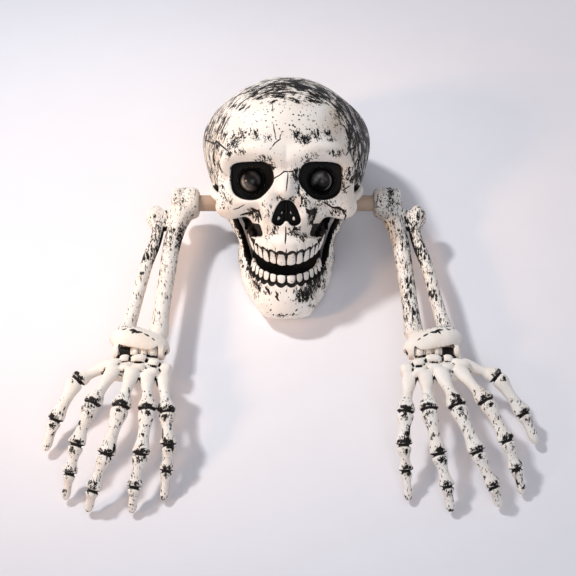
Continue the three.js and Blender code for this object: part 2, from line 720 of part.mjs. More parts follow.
const cradle = () => rod(
  ground(-skullWidth, 0, tubeHeight), ground(skullWidth, 0, tubeHeight), tubeRadius + clearance, 18,
);
const screwHole = (x, forward, from, to) => rod(
  ground(x, forward, from), ground(x, forward, to), screwRadius + clearance, 8,
);

function saddleBracket() {
  const foot = stakeForward + socketRadius / 2;
  const toe = stakeForward + 3 * socketRadius;
  return cut(acrossPrism([
    [foot, plateFloor], [toe, plateFloor], [toe, plateTop + saddleWall],
    [saddleReach, tubeHeight - saddleEar],
    [saddleReach, tubeHeight - clearance], [-saddleReach, tubeHeight - clearance],
    [foot, socketTop - saddleEar],
  ], saddleWidth), cradle());
}

function saddleCap() {
  const low = tubeHeight + clearance;
  const crown = saddleRadius * Math.SQRT1_2;
  const solid = acrossPrism([
    [-saddleReach, low], [saddleReach, low], [saddleReach, capEarTop], [saddleRadius, capEarTop],
    [crown, tubeHeight + saddleRadius], [-crown, tubeHeight + saddleRadius], [-saddleRadius, capEarTop],
    [-saddleReach, capEarTop],
  ], saddleWidth);
  return cut(solid, cradle(), ...[-1, 1].map((way) => screwHole(0, way * saddleScrewForward, 0, overrun)));
}

function basePlate() {
  const slab = block(
    [2 * skullWidth, 3 * skullLength, plateThickness], ground(0, 0, plateFloor + plateThickness / 2),
  );
  const runners = [-1, 1].map((side) => block(
    [runnerWidth, runnerLengthShare * skullLength, plateTop],
    ground(side * runnerPlaceShare * halfWidth, stakeForward, plateTop / 2),
  ));
  const bay = block(
    [bayLength + 2 * bayWall, bayWidth + 2 * bayWall, bayTop - plateFloor],
    ground(0, bayMiddle, (bayTop + plateFloor) / 2),
  );
  const lugWidth = (doorPinLength - barrelLength) / 2;
  const lugs = [-1, 1].map((side) => block(
    [lugWidth, 2 * barrelRadius, 2 * barrelRadius],
    ground(side * (barrelLength / 2 + clearance + lugWidth / 2), hingeForward, hingeHeight),
  ));
  const solids = [
    joined(slab, ...runners).intersect(skullFloor),
    rod(ground(0, stakeForward, plateFloor), ground(0, stakeForward, socketTop), socketRadius, 18),
    saddleBracket(), bay, ...lugs,
  ];
  const recess = block(
    [bayLength + 2 * doorLap, bayWidth + 2 * doorLap, 2 * (doorTop + clearance)], ground(0, bayMiddle, 0),
  );
  const leafSwing = block(
    [bayLength + 2 * doorLap, 2 * doorThickness, 2 * (doorTop + clearance)],
    ground(0, bayMiddle - bayWidth / 2 - doorLap + doorThickness / 2, 0),
  );
  const hingeSlot = block(
    [barrelLength + 2 * clearance, 2 * (barrelRadius + clearance), overrun], ground(0, hingeForward, 0),
  );
  const switchSlot = block(
    [switchKnob + 2 * clearance, switchKnob + switchTravel + 2 * clearance, overrun],
    ground(switchAcross, switchForward, 0),
  );
  const headTop = plateFloor + screwHeadHeight + clearance;
  const openings = [
    rod(ground(0, stakeForward, -overrun), ground(0, stakeForward, 2 * overrun), spigotRadius + clearance, 18),
    block([bayLength, bayWidth, 2 * bayCeiling], ground(0, bayMiddle, 0)),
    recess, leafSwing, hingeSlot, switchSlot, hingePinForm(clearance),
    ...shellScrewPlaces.flatMap(([x, forward]) => [
      screwHole(x, forward, 0, overrun),
      rod(ground(x, forward, 0), ground(x, forward, headTop), screwHeadRadius + clearance, 10),
    ]),
    ...[-1, 1].map((way) => screwHole(0, way * saddleScrewForward, tubeHeight - 0.75 * saddleEar, overrun)),
  ];
  return cut(joined(...solids), ...openings);
}

const hingePinForm = (grow) => rod(
  ground(-doorPinLength / 2 - grow, hingeForward, hingeHeight),
  ground(doorPinLength / 2 + grow, hingeForward, hingeHeight), doorPinRadius + grow, 12,
);

function batteryDoor() {
  const gap = 2 * clearance;
  const [long, wide] = [bayLength + 2 * doorLap - gap, bayWidth + 2 * doorLap - gap];
  const leaf = block([long, wide, doorThickness], ground(0, bayMiddle, plateFloor + doorThickness / 2));
  const from = bayMiddle - wide / 2 + doorLap;
  const neck = block(
    [barrelLength, from - hingeForward, doorThickness],
    ground(0, (from + hingeForward) / 2, plateFloor + doorThickness / 2),
  );
  const barrel = rod(
    ground(-barrelLength / 2, hingeForward, hingeHeight), ground(barrelLength / 2, hingeForward, hingeHeight),
    barrelRadius, 16,
  );
  return cut(joined(leaf, neck, barrel), hingePinForm(clearance));
}

const cellForward = (index) => bayFront - clearance - cellRadius - index * (cellDiameter + clearance);

function batteryCell(index) {
  const half = cellLength / 2;
  const nub = { radius: 0.4 * cellRadius, height: 0.2 * cellRadius };
  const profile = [
    [0, -half], [cellRadius, -half], [cellRadius, half - nub.height], [nub.radius, half - nub.height],
    [nub.radius, half], [0, half],
  ];
  const place = ground(0, cellForward(index), doorTop + clearance + cellRadius);
  return turned(profile, place, [index % 2 ? -1 : 1, 0, 0], 12);
}

// One plate joins the cells at their left ends and each has a contact of its own on the right
const batteryContact = (side, forward, wide) => block(
  [contactThickness, wide, cellDiameter * 0.8],
  ground(side * (cellLength / 2 + clearance + contactThickness / 2), forward, doorTop + clearance + cellRadius),
);

const boardFloor = bayTop + clearance;
const controlBoard = () => block(
  [boardLength, boardWidth, boardThickness], ground(0, bayMiddle, boardFloor + boardThickness / 2),
);

function switchBody() {
  const floor = plateTop + clearance;
  const shell = block(
    [switchWidth, switchLength, switchHeight], ground(switchAcross, switchForward, floor + switchHeight / 2),
  );
  const channel = block(
    [switchKnob + 4 * clearance, channelLength, switchHeight], ground(switchAcross, switchForward, floor),
  );
  return cut(shell, channel);
}

function switchSlider() {
  const forward = switchForward - switchTravel / 2;
  const floor = plateTop + 2 * clearance;
  const top = plateTop + clearance + switchHeight / 2 - clearance;
  const low = clearance;
  const shoe = block(
    [switchKnob + 2 * clearance, sliderLength, top - floor], ground(switchAcross, forward, (top + floor) / 2),
  );
  const knob = block([switchKnob, switchKnob, top - low], ground(switchAcross, forward, (top + low) / 2));
  return joined(shoe, knob);
}

function crossTube() {
  const ring = [
    [tubeBore, -tubeHalfLength], [tubeRadius, -tubeHalfLength], [tubeRadius, tubeHalfLength],
    [tubeBore, tubeHalfLength], [tubeBore, -tubeHalfLength],
  ];
  return turned(ring, ground(0, 0, tubeHeight), [1, 0, 0], 18);
}

// A screw from the outer face of its head along the given way
function screw(place, way, reach) {
  return turned([
    [0, 0], [screwHeadRadius, 0], [screwHeadRadius, screwHeadHeight], [screwRadius, screwHeadHeight],
    [screwRadius, reach - screwRadius], [0, reach],
  ], place, way, 8);
}

// The stake: a cross of two pointed ribs under a collar, with a round spigot that fills the socket
function groundStake() {
  const collarTop = plateFloor - clearance;
  const collarFloor = collarTop - stakeRibThickness;
  const rib = (turnShare) => {
    const outline = new THREE.Shape();
    const half = stakeRibWidth / 2;
    const shoulder = -stakeLength + 2.5 * stakeRibWidth;
    outline.moveTo(-half, collarTop - stakeRibThickness / 2);
    outline.lineTo(-half * 0.8, shoulder);
    outline.lineTo(0, -stakeLength);
    outline.lineTo(half * 0.8, shoulder);
    outline.lineTo(half, collarTop - stakeRibThickness / 2);
    outline.closePath();
    const slab = new THREE.ExtrudeGeometry(outline, { depth: stakeRibThickness, bevelEnabled: false });
    slab.translate(0, 0, -stakeRibThickness / 2);
    const turn = new THREE.Matrix4().makeRotationZ(turnShare * Math.PI);
    turn.multiply(new THREE.Matrix4().makeRotationX(Math.PI / 2));
    return outward(slab, turn);
  };
  const spigot = turned([
    [0, collarFloor], [socketRadius, collarFloor], [socketRadius, collarTop], [spigotRadius, collarTop],
    [spigotRadius, socketTop - 2 * socketWall], [spigotRadius * 0.8, socketTop - clearance],
    [0, socketTop - clearance],
  ], [0, 0, 0], [0, 0, 1], 18);
  return joined(spigot, rib(0), rib(0.5));
}

// The eyes: a black cup through the socket floor, a smoked lens in it and a lamp behind the lens
const cupSeat = -socketFloor + clearance;
const cupFront = -socketFloor + 3 * eyeWall;
const ledRadius = ledDiameter / 2;
const ledBack = cupBack - ledDiameter;

function eyeCup(side) {
  const hole = ledRadius + clearance;
  const seat = lensDiameter / 2 + clearance;
  return turned([
    [hole, cupBack], [cupFlangeRadius, cupBack], [cupFlangeRadius, cupBack + 2 * eyeWall],
    [cupRadius, cupBack + 2 * eyeWall], [cupRadius, cupFront], [seat, cupFront], [seat, cupSeat],
    [hole, cupSeat], [hole, cupBack],
  ], eyePlace(side), [0, -1, 0], 16);
}

function eyeLens(side) {
  const rim = lensDiameter / 2;
  const ball = 1.09 * rim;
  const floor = cupSeat + clearance;
  const shoulder = floor + eyeWall;
  const drop = Math.sqrt(ball ** 2 - rim ** 2);
  const start = Math.asin(drop / ball);
  const dome = Array.from({ length: 5 }, (_, i) => {
    const angle = mix(start, Math.PI / 2, i / 4);
    return [i === 4 ? 0 : ball * Math.cos(angle), shoulder + ball * Math.sin(angle) - drop];
  });
  return turned([[0, floor], [rim, floor], ...dome], eyePlace(side), [0, -1, 0], 16);
}

function eyeLed(side) {
  const tip = cupSeat;
  return turned([
    [0, ledBack], [ledRadius, ledBack], [ledRadius, tip - ledRadius],
    [ledRadius * Math.SQRT1_2, tip - 0.3 * ledRadius], [0, tip],
  ], eyePlace(side), [0, -1, 0], 8);
}

// Each lamp's lead runs over the saddle to the board, in [across, forward, up] shares of the skull
const ledLeadShares = [
  [0.44, 0.33, 0.24], [0.42, 0.2, 0.34], [0.36, 0.02, 0.44], [0.29, -0.2, 0.53], [0.22, -0.42, 0.58],
  [0.17, -0.6, 0.57],
];

function ledLead(side) {
  const start = add(eyePlace(side), [0, -(ledBack - clearance), 0]);
  const straight = add(start, [0, 2 * ledDiameter, 0]);
  const boardTop = boardFloor + boardThickness + clearance;
  const overBoard = (lift) => new THREE.Vector3(...ground(side * 0.3 * boardLength, bayMiddle, boardTop + lift))
    .applyMatrix4(skullFromGround).toArray();
  const between = ledLeadShares.map(([x, f, u]) => inSkull([side * x, f, u]));
  const route = [start, straight, ...between, overBoard(2 * ledDiameter), overBoard(0)];
  const points = route.map((place) => new THREE.Vector3(...place));
  const curve = new THREE.CatmullRomCurve3(points, false, 'centripetal');
  return bone(curve.getSpacedPoints(18).map((place) => [place.toArray(), wireDiameter / 2]), 5);
}

// Push-on clips keep the jaw's rings against the skull, plugs in the tube ends take the elbow screws
const ringOf = (bore, radius, from, to, side, sides = 12) => turned(
  [[bore, from], [radius, from], [radius, to], [bore, to], [bore, from]],
  ground(0, 0, tubeHeight), [side, 0, 0], sides,
);
const clipFrom = jawRingInner + jawRingWidth + clearance;
const jawClip = (side) => ringOf(
  tubeRadius + clearance, tubeRadius + clearance + 2 * eyeWall, clipFrom, clipFrom + eyeWall, side,
);
const tubePlug = (side) => ringOf(
  screwRadius + clearance, tubeBore - clearance, tubeHalfLength - tubeSeat, tubeHalfLength, side, 12,
);

// The elbow: a barrel over the tube end, with a counterbore for its screw
const elbowWallInner = tubeHalfLength + clearance;
const elbowWall = elbowRadius * 0.18;
const elbowWasherFrom = elbowWallInner + elbowWall + clearance;
const elbowScrewFrom = elbowWasherFrom + eyeWall / 2 + clearance;
const elbowWasher = (side) => ringOf(
  screwRadius + clearance, screwHeadRadius + clearance,
  elbowWasherFrom, elbowWasherFrom + eyeWall / 2, side, 10,
);
const elbowScrew = (side) => screw(
  ground(side * (elbowScrewFrom + screwHeadHeight), 0, tubeHeight), [-side, 0, 0],
  elbowScrewFrom - tubeHalfLength + tubeSeat * 0.7,
);

// Places along the forearm: outward from the elbow, forward from the tube, and the height between both ends
const armPlace = (side, [out, forward, lift]) => ground(
  side * (elbowCentre + out * wristSpread), forward * forearmReach,
  mix(tubeHeight, wristHeight, Math.min(Math.max(forward, 0), 1)) + lift * elbowRadius,
);
const armBone = (side, shares, radius, sides) => bone(
  shares.map(([out, forward, lift, size]) => [armPlace(side, [out, forward, lift]), size * radius]), sides,
);
const ulnaShares = [
  [-0.04, -0.02, 0, 1.5], [0.04, 0.06, 0, 1.35], [0.17, 0.15, 0.05, 1.15], [0.3, 0.28, 0.1, 1.05],
  [0.36, 0.42, 0.14, 1],
  [0.42, 0.6, 0.14, 0.95], [0.47, 0.76, 0.12, 0.95], [0.5, 0.88, 0.1, 1.1],
];
const radiusShares = [
  [0.86, 0.07, 0, 1.2], [0.86, 0.11, 0, 1.4], [0.8, 0.15, 0, 1.15], [0.75, 0.21, 0, 0.95],
  [0.83, 0.31, 0.08, 0.98],
  [0.98, 0.43, 0.13, 1], [1.1, 0.57, 0.14, 1], [1.2, 0.7, 0.14, 1], [1.31, 0.82, 0.12, 1.1],
  [1.4, 0.9, 0.1, 1.4],
];
const elbowBridgeShares = [[0.1, 0.07, 0, 1.2], [0.5, 0.09, -0.05, 1.15], [0.86, 0.1, 0, 1.15]];
const wristEndShares = [
  { across: -1, deep: 0.4, high: 0.4, lift: -0.1 }, { across: -0.84, deep: 0.66, high: 0.52, lift: 0.05 },
  { across: -0.5, deep: 0.82, high: 0.58, lift: 0.2 }, { across: 0, deep: 0.86, high: 0.6, lift: 0.3 },
  { across: 0.5, deep: 0.88, high: 0.62, lift: 0.28 }, { across: 0.84, deep: 0.72, high: 0.54, lift: 0.12 },
  { across: 1, deep: 0.42, high: 0.4, lift: -0.05 },
];
const wristEar = wristWidth * 0.12;
const wristPinRadius = wristPinDiameter / 2;
const wristForward = forearmReach;
const wristAcross = elbowCentre + wristSpread;
const wristBarrelHalf = wristWidth / 2 - wristEar - clearance;

const wristRod = (side, from, to, radius, sides = 14) => rod(
  ground(side * (wristAcross + from), wristForward, wristHeight),
  ground(side * (wristAcross + to), wristForward, wristHeight), radius, sides,
);

function forearm(side) {
  const barrel = turned([
    [0, elbowInner], [elbowRadius * 0.88, elbowInner], [elbowRadius, elbowInner + elbowWidth * 0.12],
    [elbowRadius, elbowInner + elbowWidth * 0.85], [elbowRadius * 0.85, elbowInner + elbowWidth],
    [0, elbowInner + elbowWidth],
  ], ground(0, 0, tubeHeight), [side, 0, 0], 16);
  const endForward = wristForward - wristBarrelRadius * 1.45;
  const end = loft(wristEndShares.map(({ across, deep, high, lift }) => section(
    ground(side * (wristAcross + (across * wristWidth) / 2), endForward, wristHeight + elbowRadius * lift),
    [0, deep * elbowRadius, 0], [0, 0, high * elbowRadius], 10,
  )));
  const earPlace = wristBarrelHalf + clearance;
  const ears = [-1, 1].map((way) => wristRod(
    side, way * earPlace, way * (wristWidth / 2 - clearance), wristBarrelRadius,
  ));
  const solid = joined(
    barrel, armBone(side, ulnaShares, ulnaRadius, 10), armBone(side, radiusShares, radiusRadius, 8),
    armBone(side, elbowBridgeShares, radiusRadius, 8), end, ...ears,
  );
  const head = screwHeadRadius + 2 * clearance;
  const wallOuter = elbowWallInner + elbowWall;
  const onTube = (from, to, radius, sides) => rod(
    ground(side * from, 0, tubeHeight), ground(side * to, 0, tubeHeight), radius, sides,
  );
  return cut(
    solid,
    onTube(0, elbowWallInner, tubeRadius + clearance, 18),
    onTube(0, 2 * elbowCentre, screwRadius + clearance, 8),
    onTube(wallOuter, elbowInner + elbowWidth + elbowRadius, head, 14),
    wristRod(side, -earPlace, earPlace, wristBarrelRadius + 3 * clearance),
    wristRod(side, -wristWidth, wristWidth, wristPinRadius + clearance, 10),
  );
}

const wristPin = (side) => wristRod(side, -wristWidth / 2, wristWidth / 2, wristPinRadius, 10);

// Each finger: joints as [outward, forward] shares of the hand's reach and a height share of the knuckles
const fingerShares = [
  { splay: 1, size: 1, joints: [
    [0.15, 0.08, 0.71], [0.37, 0.19, 0.67], [0.5, 0.42, 0.4], [0.553, 0.567, 0.17],
  ] },
  { splay: 1, size: 1, joints: [
    [0.12, 0.13, 0.86], [0.26, 0.43, 0.95], [0.35, 0.663, 0.71], [0.393, 0.794, 0.4], [0.42, 0.9, 0.12],
  ] },
  { splay: 0.9, size: 1.05, joints: [
    [0.014, 0.16, 0.9], [0.085, 0.47, 1], [0.17, 0.745, 0.76], [0.248, 0.915, 0.43], [0.28, 0.98, 0.12],
  ] },
  { splay: 0.6, size: 1, joints: [
    [-0.064, 0.17, 0.86], [-0.076, 0.48, 0.95], [-0.04, 0.742, 0.71], [0, 0.9, 0.4], [0.015, 1, 0.12],
  ] },
  { splay: 0, size: 0.95, joints: [
    [-0.152, 0.17, 0.79], [-0.2, 0.48, 0.86], [-0.215, 0.66, 0.62], [-0.204, 0.787, 0.36], [-0.192, 0.92, 0.12],
  ] },
];
const boneProfileShares = [[0.04, 0.85], [0.16, 1.05], [0.5, 0.62], [0.9, 1]];
const boneSizeShares = [1.05, 0.98, 0.86, 0.74];
const fingerSplay = { left: THREE.MathUtils.degToRad(-3.5), right: THREE.MathUtils.degToRad(3.5) };
const palmShares = [
  { forward: 0, half: 0.1, height: 0.7, deep: 0.03 },
  { forward: 0.07, half: 0.115, height: 0.72, deep: 0.038 },
  { forward: 0.13, half: 0.175, height: 0.78, deep: 0.055 },
  { forward: 0.2, half: 0.18, height: 0.82, deep: 0.05 },
  { forward: 0.25, half: 0.16, height: 0.84, deep: 0.035 },
];

const handPlace = (side, [out, forward, height]) => ground(
  side * (wristAcross + out * handReach), wristForward + forward * handReach, height * knuckleHeight,
);

function finger(side, { splay, size, joints }, turn) {
  const [baseOut, baseForward] = joints[0];
  const angle = splay * turn;
  const spread = joints.map(([out, forward, height]) => {
    const [x, y] = [out - baseOut, forward - baseForward];
    return [
      baseOut + x * Math.cos(angle) + y * Math.sin(angle),
      baseForward + y * Math.cos(angle) - x * Math.sin(angle), height,
    ];
  });
  const places = spread.map((joint) => handPlace(side, joint));
  const stations = places.slice(1).flatMap((end, i) => boneProfileShares.map(([along, thick]) => {
    const start = places[i];
    return [add(start, times(sub(end, start), along)), thick * boneSizeShares[i] * size * knuckleRadius];
  }));
  const tip = places.at(-1);
  return bone([...stations, [tip, 0.35 * knuckleRadius]], 7);
}

function hand(side, turn) {
  const palm = loft(palmShares.map(({ forward, half, height, deep }) => section(
    handPlace(side, [0, forward, height]), [half * handReach, 0, 0], [0, 0, deep * handReach], 12, 0.8,
  )));
  const barrel = wristRod(side, -wristBarrelHalf, wristBarrelHalf, wristBarrelRadius);
  const keepOff = [-1, 1].map((way) => block(
    [wristWidth, 2 * (wristBarrelRadius + clearance), wristWidth],
    ground(side * (wristAcross + way * (wristBarrelHalf + wristWidth / 2)), wristForward, wristHeight),
  ));
  const fingers = fingerShares.map((share) => finger(side, share, turn));
  const pinHole = wristRod(side, -wristWidth, wristWidth, wristPinRadius + clearance, 10);
  return cut(joined(barrel, palm, ...fingers), ...keepOff, pinHole);
}

const object = new THREE.Group();
const skullGroup = new THREE.Group();
skullGroup.position.set(0, -stakeSetback, tubeHeight);
skullGroup.rotation.x = -skullTilt;
object.add(skullGroup);

function addPiece(name, solid, material, group = object) {
  const mesh = new THREE.Mesh(geometryOf(solid), material);
  mesh.name = name;
  group.add(mesh);
}

const wholeSkull = skullBody();
addPiece('skull_face_shell', wholeSkull.intersect(frontOfSeam(seamGap / 2)), ivoryPlastic, skullGroup);
addPiece('skull_crown_shell', wholeSkull.subtract(frontOfSeam(-seamGap / 2)), ivoryPlastic, skullGroup);
addPiece('jaw', mandible(), ivoryPlastic, skullGroup);
addPiece('cross_tube', crossTube(), tubePlastic);
addPiece('base_plate', basePlate(), blackPlastic);
addPiece('saddle_cap', saddleCap(), blackPlastic);
addPiece('ground_stake', groundStake(), blackPlastic);
addPiece('battery_door', batteryDoor(), blackPlastic);
addPiece('battery_door_pin', hingePinForm(0), springSteel);
addPiece('control_board', controlBoard(), boardLaminate);
addPiece('switch_body', switchBody(), blackPlastic);
addPiece('switch_slider', switchSlider(), ledPlastic);
for (let index = 0; index < cellCount; index += 1) {
  const contact = batteryContact(1, cellForward(index), cellDiameter * 0.8);
  addPiece(`battery_cell_${index + 1}`, batteryCell(index), cellSleeve);
  addPiece(`battery_contact_${index + 1}`, contact, springSteel);
}
addPiece('battery_bridge', batteryContact(-1, bayMiddle, bayWidth - 2 * clearance), springSteel);
shellScrewPlaces.forEach(([x, forward], i) => {
  const place = ground(x, forward, plateFloor);
  addPiece(`shell_screw_${i + 1}`, screw(place, [0, 0, 1], shellScrewLength), springSteel);
});
['front', 'rear'].forEach((where, i) => {
  const place = ground(0, (i ? -1 : 1) * saddleScrewForward, capEarTop + clearance + screwHeadHeight);
  const reach = screwHeadHeight + saddleWall + saddleEar * 0.75;
  addPiece(`saddle_screw_${where}`, screw(place, [0, 0, -1], reach), springSteel);
});
for (const [name, side] of sideNames) {
  addPiece(`eye_cup_${name}`, eyeCup(side), blackPlastic, skullGroup);
  addPiece(`eye_lens_${name}`, eyeLens(side), smokedLens, skullGroup);
  addPiece(`eye_led_${name}`, eyeLed(side), ledPlastic, skullGroup);
  addPiece(`led_lead_${name}`, ledLead(side), wireSkin, skullGroup);
  addPiece(`jaw_clip_${name}`, jawClip(side), springSteel);
  addPiece(`tube_plug_${name}`, tubePlug(side), blackPlastic);
  addPiece(`elbow_washer_${name}`, elbowWasher(side), springSteel);
  addPiece(`elbow_screw_${name}`, elbowScrew(side), springSteel);
  addPiece(`forearm_${name}`, forearm(side), ivoryPlastic);
  addPiece(`wrist_pin_${name}`, wristPin(side), springSteel);
  addPiece(`hand_${name}`, hand(side, fingerSplay[name]), ivoryPlastic);
}

export default object;
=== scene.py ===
import math

import bpy
import numpy as np
import openvdb
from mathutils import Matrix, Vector


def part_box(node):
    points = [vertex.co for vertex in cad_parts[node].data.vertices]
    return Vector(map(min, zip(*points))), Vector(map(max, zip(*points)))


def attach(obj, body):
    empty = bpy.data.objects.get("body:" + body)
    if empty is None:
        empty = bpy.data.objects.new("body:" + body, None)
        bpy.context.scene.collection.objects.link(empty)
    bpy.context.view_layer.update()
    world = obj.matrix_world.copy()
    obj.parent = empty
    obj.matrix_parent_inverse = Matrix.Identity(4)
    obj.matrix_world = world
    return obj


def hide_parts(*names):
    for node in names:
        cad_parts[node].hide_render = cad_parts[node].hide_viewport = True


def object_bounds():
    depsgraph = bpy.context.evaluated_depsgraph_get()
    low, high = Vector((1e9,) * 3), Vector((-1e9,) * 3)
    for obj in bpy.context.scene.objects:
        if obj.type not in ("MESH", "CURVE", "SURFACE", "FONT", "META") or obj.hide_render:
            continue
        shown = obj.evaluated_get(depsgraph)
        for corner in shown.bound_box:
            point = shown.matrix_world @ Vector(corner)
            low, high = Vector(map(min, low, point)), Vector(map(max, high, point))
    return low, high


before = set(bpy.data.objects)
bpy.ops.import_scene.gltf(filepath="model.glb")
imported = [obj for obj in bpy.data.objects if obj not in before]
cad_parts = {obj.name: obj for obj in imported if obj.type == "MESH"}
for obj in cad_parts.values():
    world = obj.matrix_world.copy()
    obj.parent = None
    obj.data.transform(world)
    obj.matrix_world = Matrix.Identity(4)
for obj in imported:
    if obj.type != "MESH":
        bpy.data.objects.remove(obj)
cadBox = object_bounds()
scene = bpy.context.scene
millimetre = 0.001
print("frame loaded:", len(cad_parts), "nodes")

# Camera, floor and light

shot = {"elevation": 50, "distance": 1.254, "lookAt": (0.0015, -0.1266, 0), "lens": 85, "sensor": 36,
        "nearest": 0.05}


def pointAt(thing, place, target):
    thing.location = place
    thing.rotation_euler = (Vector(target) - Vector(place)).to_track_quat("-Z", "Y").to_euler()
    scene.collection.objects.link(thing)


def addCamera():
    data = bpy.data.cameras.new("photoCamera")
    data.lens = shot["lens"]
    data.sensor_width = shot["sensor"]
    data.clip_start = shot["nearest"]
    tilt = math.radians(shot["elevation"])
    x, y, z = shot["lookAt"]
    place = (x, y - shot["distance"] * math.cos(tilt), z + shot["distance"] * math.sin(tilt))
    camera = bpy.data.objects.new("photoCamera", data)
    pointAt(camera, place, shot["lookAt"])
    scene.camera = camera


studio = {
    "floorSize": 9.0,
    "room": {"colour": (0.9, 0.91, 1.0), "strength": 0.385},
    "lamps": {
        "key": {"place": (-1.25, 0.75, 1.85), "target": (-0.1, -0.1, 0), "size": 0.26, "power": 24,
                "colour": (0.97, 0.97, 1.0)},
        "front": {"place": (0.3, -1.7, 1.5), "target": (0, -0.1, 0.05), "size": 1.4, "power": 8.5,
                  "colour": (0.95, 0.95, 1.0)},
    },
    "pools": {
        "warmPool": {"place": (-1.25, 0.62, 1.7), "target": (-0.12, -0.05, 0), "size": 0.08, "power": 42,
                     "colour": (1.0, 0.96, 0.9), "angle": 22, "blend": 0.9},
        "amber": {"place": (-1.5, -0.9, 0.9), "target": (-0.12, -0.1, 0.0), "size": 0.2, "power": 85,
                  "colour": (1.0, 0.6, 0.33), "angle": 20, "blend": 1.0},
    },
}


def addLamp(name, kind, lamp):
    data = bpy.data.lights.new(name + "Lamp", kind)
    data.energy = lamp["power"]
    data.color = lamp["colour"]
    pointAt(bpy.data.objects.new(name + "Lamp", data), lamp["place"], lamp["target"])
    return data


def addStudio():
    for name, lamp in studio["lamps"].items():
        data = addLamp(name, "AREA", lamp)
        data.shape = "DISK"
        data.size = lamp["size"]
    for name, lamp in studio["pools"].items():
        data = addLamp(name, "SPOT", lamp)
        data.shadow_soft_size = lamp["size"]
        data.spot_size = math.radians(lamp["angle"])
        data.spot_blend = lamp["blend"]
    world = bpy.data.worlds.new("paleRoom")
    world.use_nodes = True
    background = world.node_tree.nodes["Background"]
    background.inputs["Color"].default_value = (*studio["room"]["colour"], 1)
    background.inputs["Strength"].default_value = studio["room"]["strength"]
    scene.world = world
    scene.view_settings.view_transform = "Standard"


# Shader sums


class Signal:  # one output of a node, so that shader sums read as plain sums
    def __init__(self, finish, socket):
        self.finish = finish
        self.socket = socket

    def worked(self, operation, *values):
        return self.finish.node("ShaderNodeMath", {"operation": operation}, dict(enumerate(values)))

    def __add__(self, other):
        return self.worked("ADD", self, other)

    def __sub__(self, other):
        return self.worked("SUBTRACT", self, other)

    def __rsub__(self, other):
        return self.worked("SUBTRACT", other, self)

    def __mul__(self, other):
        return self.worked("MULTIPLY", self, other)

    def __abs__(self):
        return self.worked("ABSOLUTE", self)

    __radd__ = __add__
    __rmul__ = __mul__

    def above(self, start, end):  # 0 below start, 1 above end, smooth between
        return self.finish.node("ShaderNodeMapRange", {"interpolation_type": "SMOOTHSTEP"}, {
            "Value": self, "From Min": start, "From Max": end,
        })

    def most(self, other):
        return self.worked("MAXIMUM", self, other)

    def least(self, other):
        return self.worked("MINIMUM", self, other)


class Finish:  # one material and the nodes in it
    def __init__(self, name):
        self.material = bpy.data.materials.new(name)
        self.material.use_nodes = True
        self.tree = self.material.node_tree
        self.shader = self.tree.nodes["Principled BSDF"]

    def node(self, kind, settings=None, sockets=None, output=0):
        made = self.tree.nodes.new(kind)
        for name, value in (settings or {}).items():
            if name == "stops":
                ramp = made.color_ramp.elements
                while len(ramp) < len(value):
                    ramp.new(0.5)
                for element, (place, colour) in zip(ramp, value):
                    element.position = place
                    element.color = (*colour, 1)
            else:
                setattr(made, name, value)
        for name, value in (sockets or {}).items():
            self.feed(made.inputs[name], value)
        return Signal(self, made.outputs[output])

    def feed(self, socket, value):
        if isinstance(value, Signal):
            self.tree.links.new(value.socket, socket)
        elif hasattr(socket.default_value, "__len__") and len(socket.default_value) == 4:
            socket.default_value = (*value, 1) if len(value) == 3 else value
        else:
            socket.default_value = value

    def wear(self, values):  # what the shader shows, by its sockets' names
        for name, value in values.items():
            self.feed(self.shader.inputs[name], value)
        return self.material

    def places(self):
        return self.node("ShaderNodeTexCoord", output="Object")

    def noise(self, scale, detail=3, roughness=0.55, places=None, distortion=0):
        return self.node("ShaderNodeTexNoise", None, {
            "Vector": places or self.places(), "Scale": scale, "Detail": detail,
            "Roughness": roughness, "Distortion": distortion,
        })

    def cells(self, scale, places=None, feature="F1"):
        return self.node("ShaderNodeTexVoronoi", {"feature": feature}, {
            "Vector": places or self.places(), "Scale": scale,
        })

    def mark(self, name, output="Fac"):
        return self.node("ShaderNodeAttribute", {"attribute_name": name}, output=output)

    def blend(self, amount, first, second):
        return self.node("ShaderNodeMix", {"data_type": "RGBA"}, {
            "Factor": amount, 6: first, 7: second,
        }, output=2)

    def bump(self, height, strength, distance):
        return self.node("ShaderNodeBump", None, {
            "Height": height, "Strength": strength, "Distance": distance,
        })


# Distance fields

farAway = 99.0  # millimetres to anything, before a form is joined
margins = {"join": 7, "carve": 3}  # how far round a form its field is worked out, besides the blend


def softLeast(a, b, blend):
    near = np.maximum(blend - np.abs(a - b), 0) / blend
    return np.minimum(a, b) - near * near * blend / 4


def softMost(a, b, blend):
    return -softLeast(-a, -b, blend)


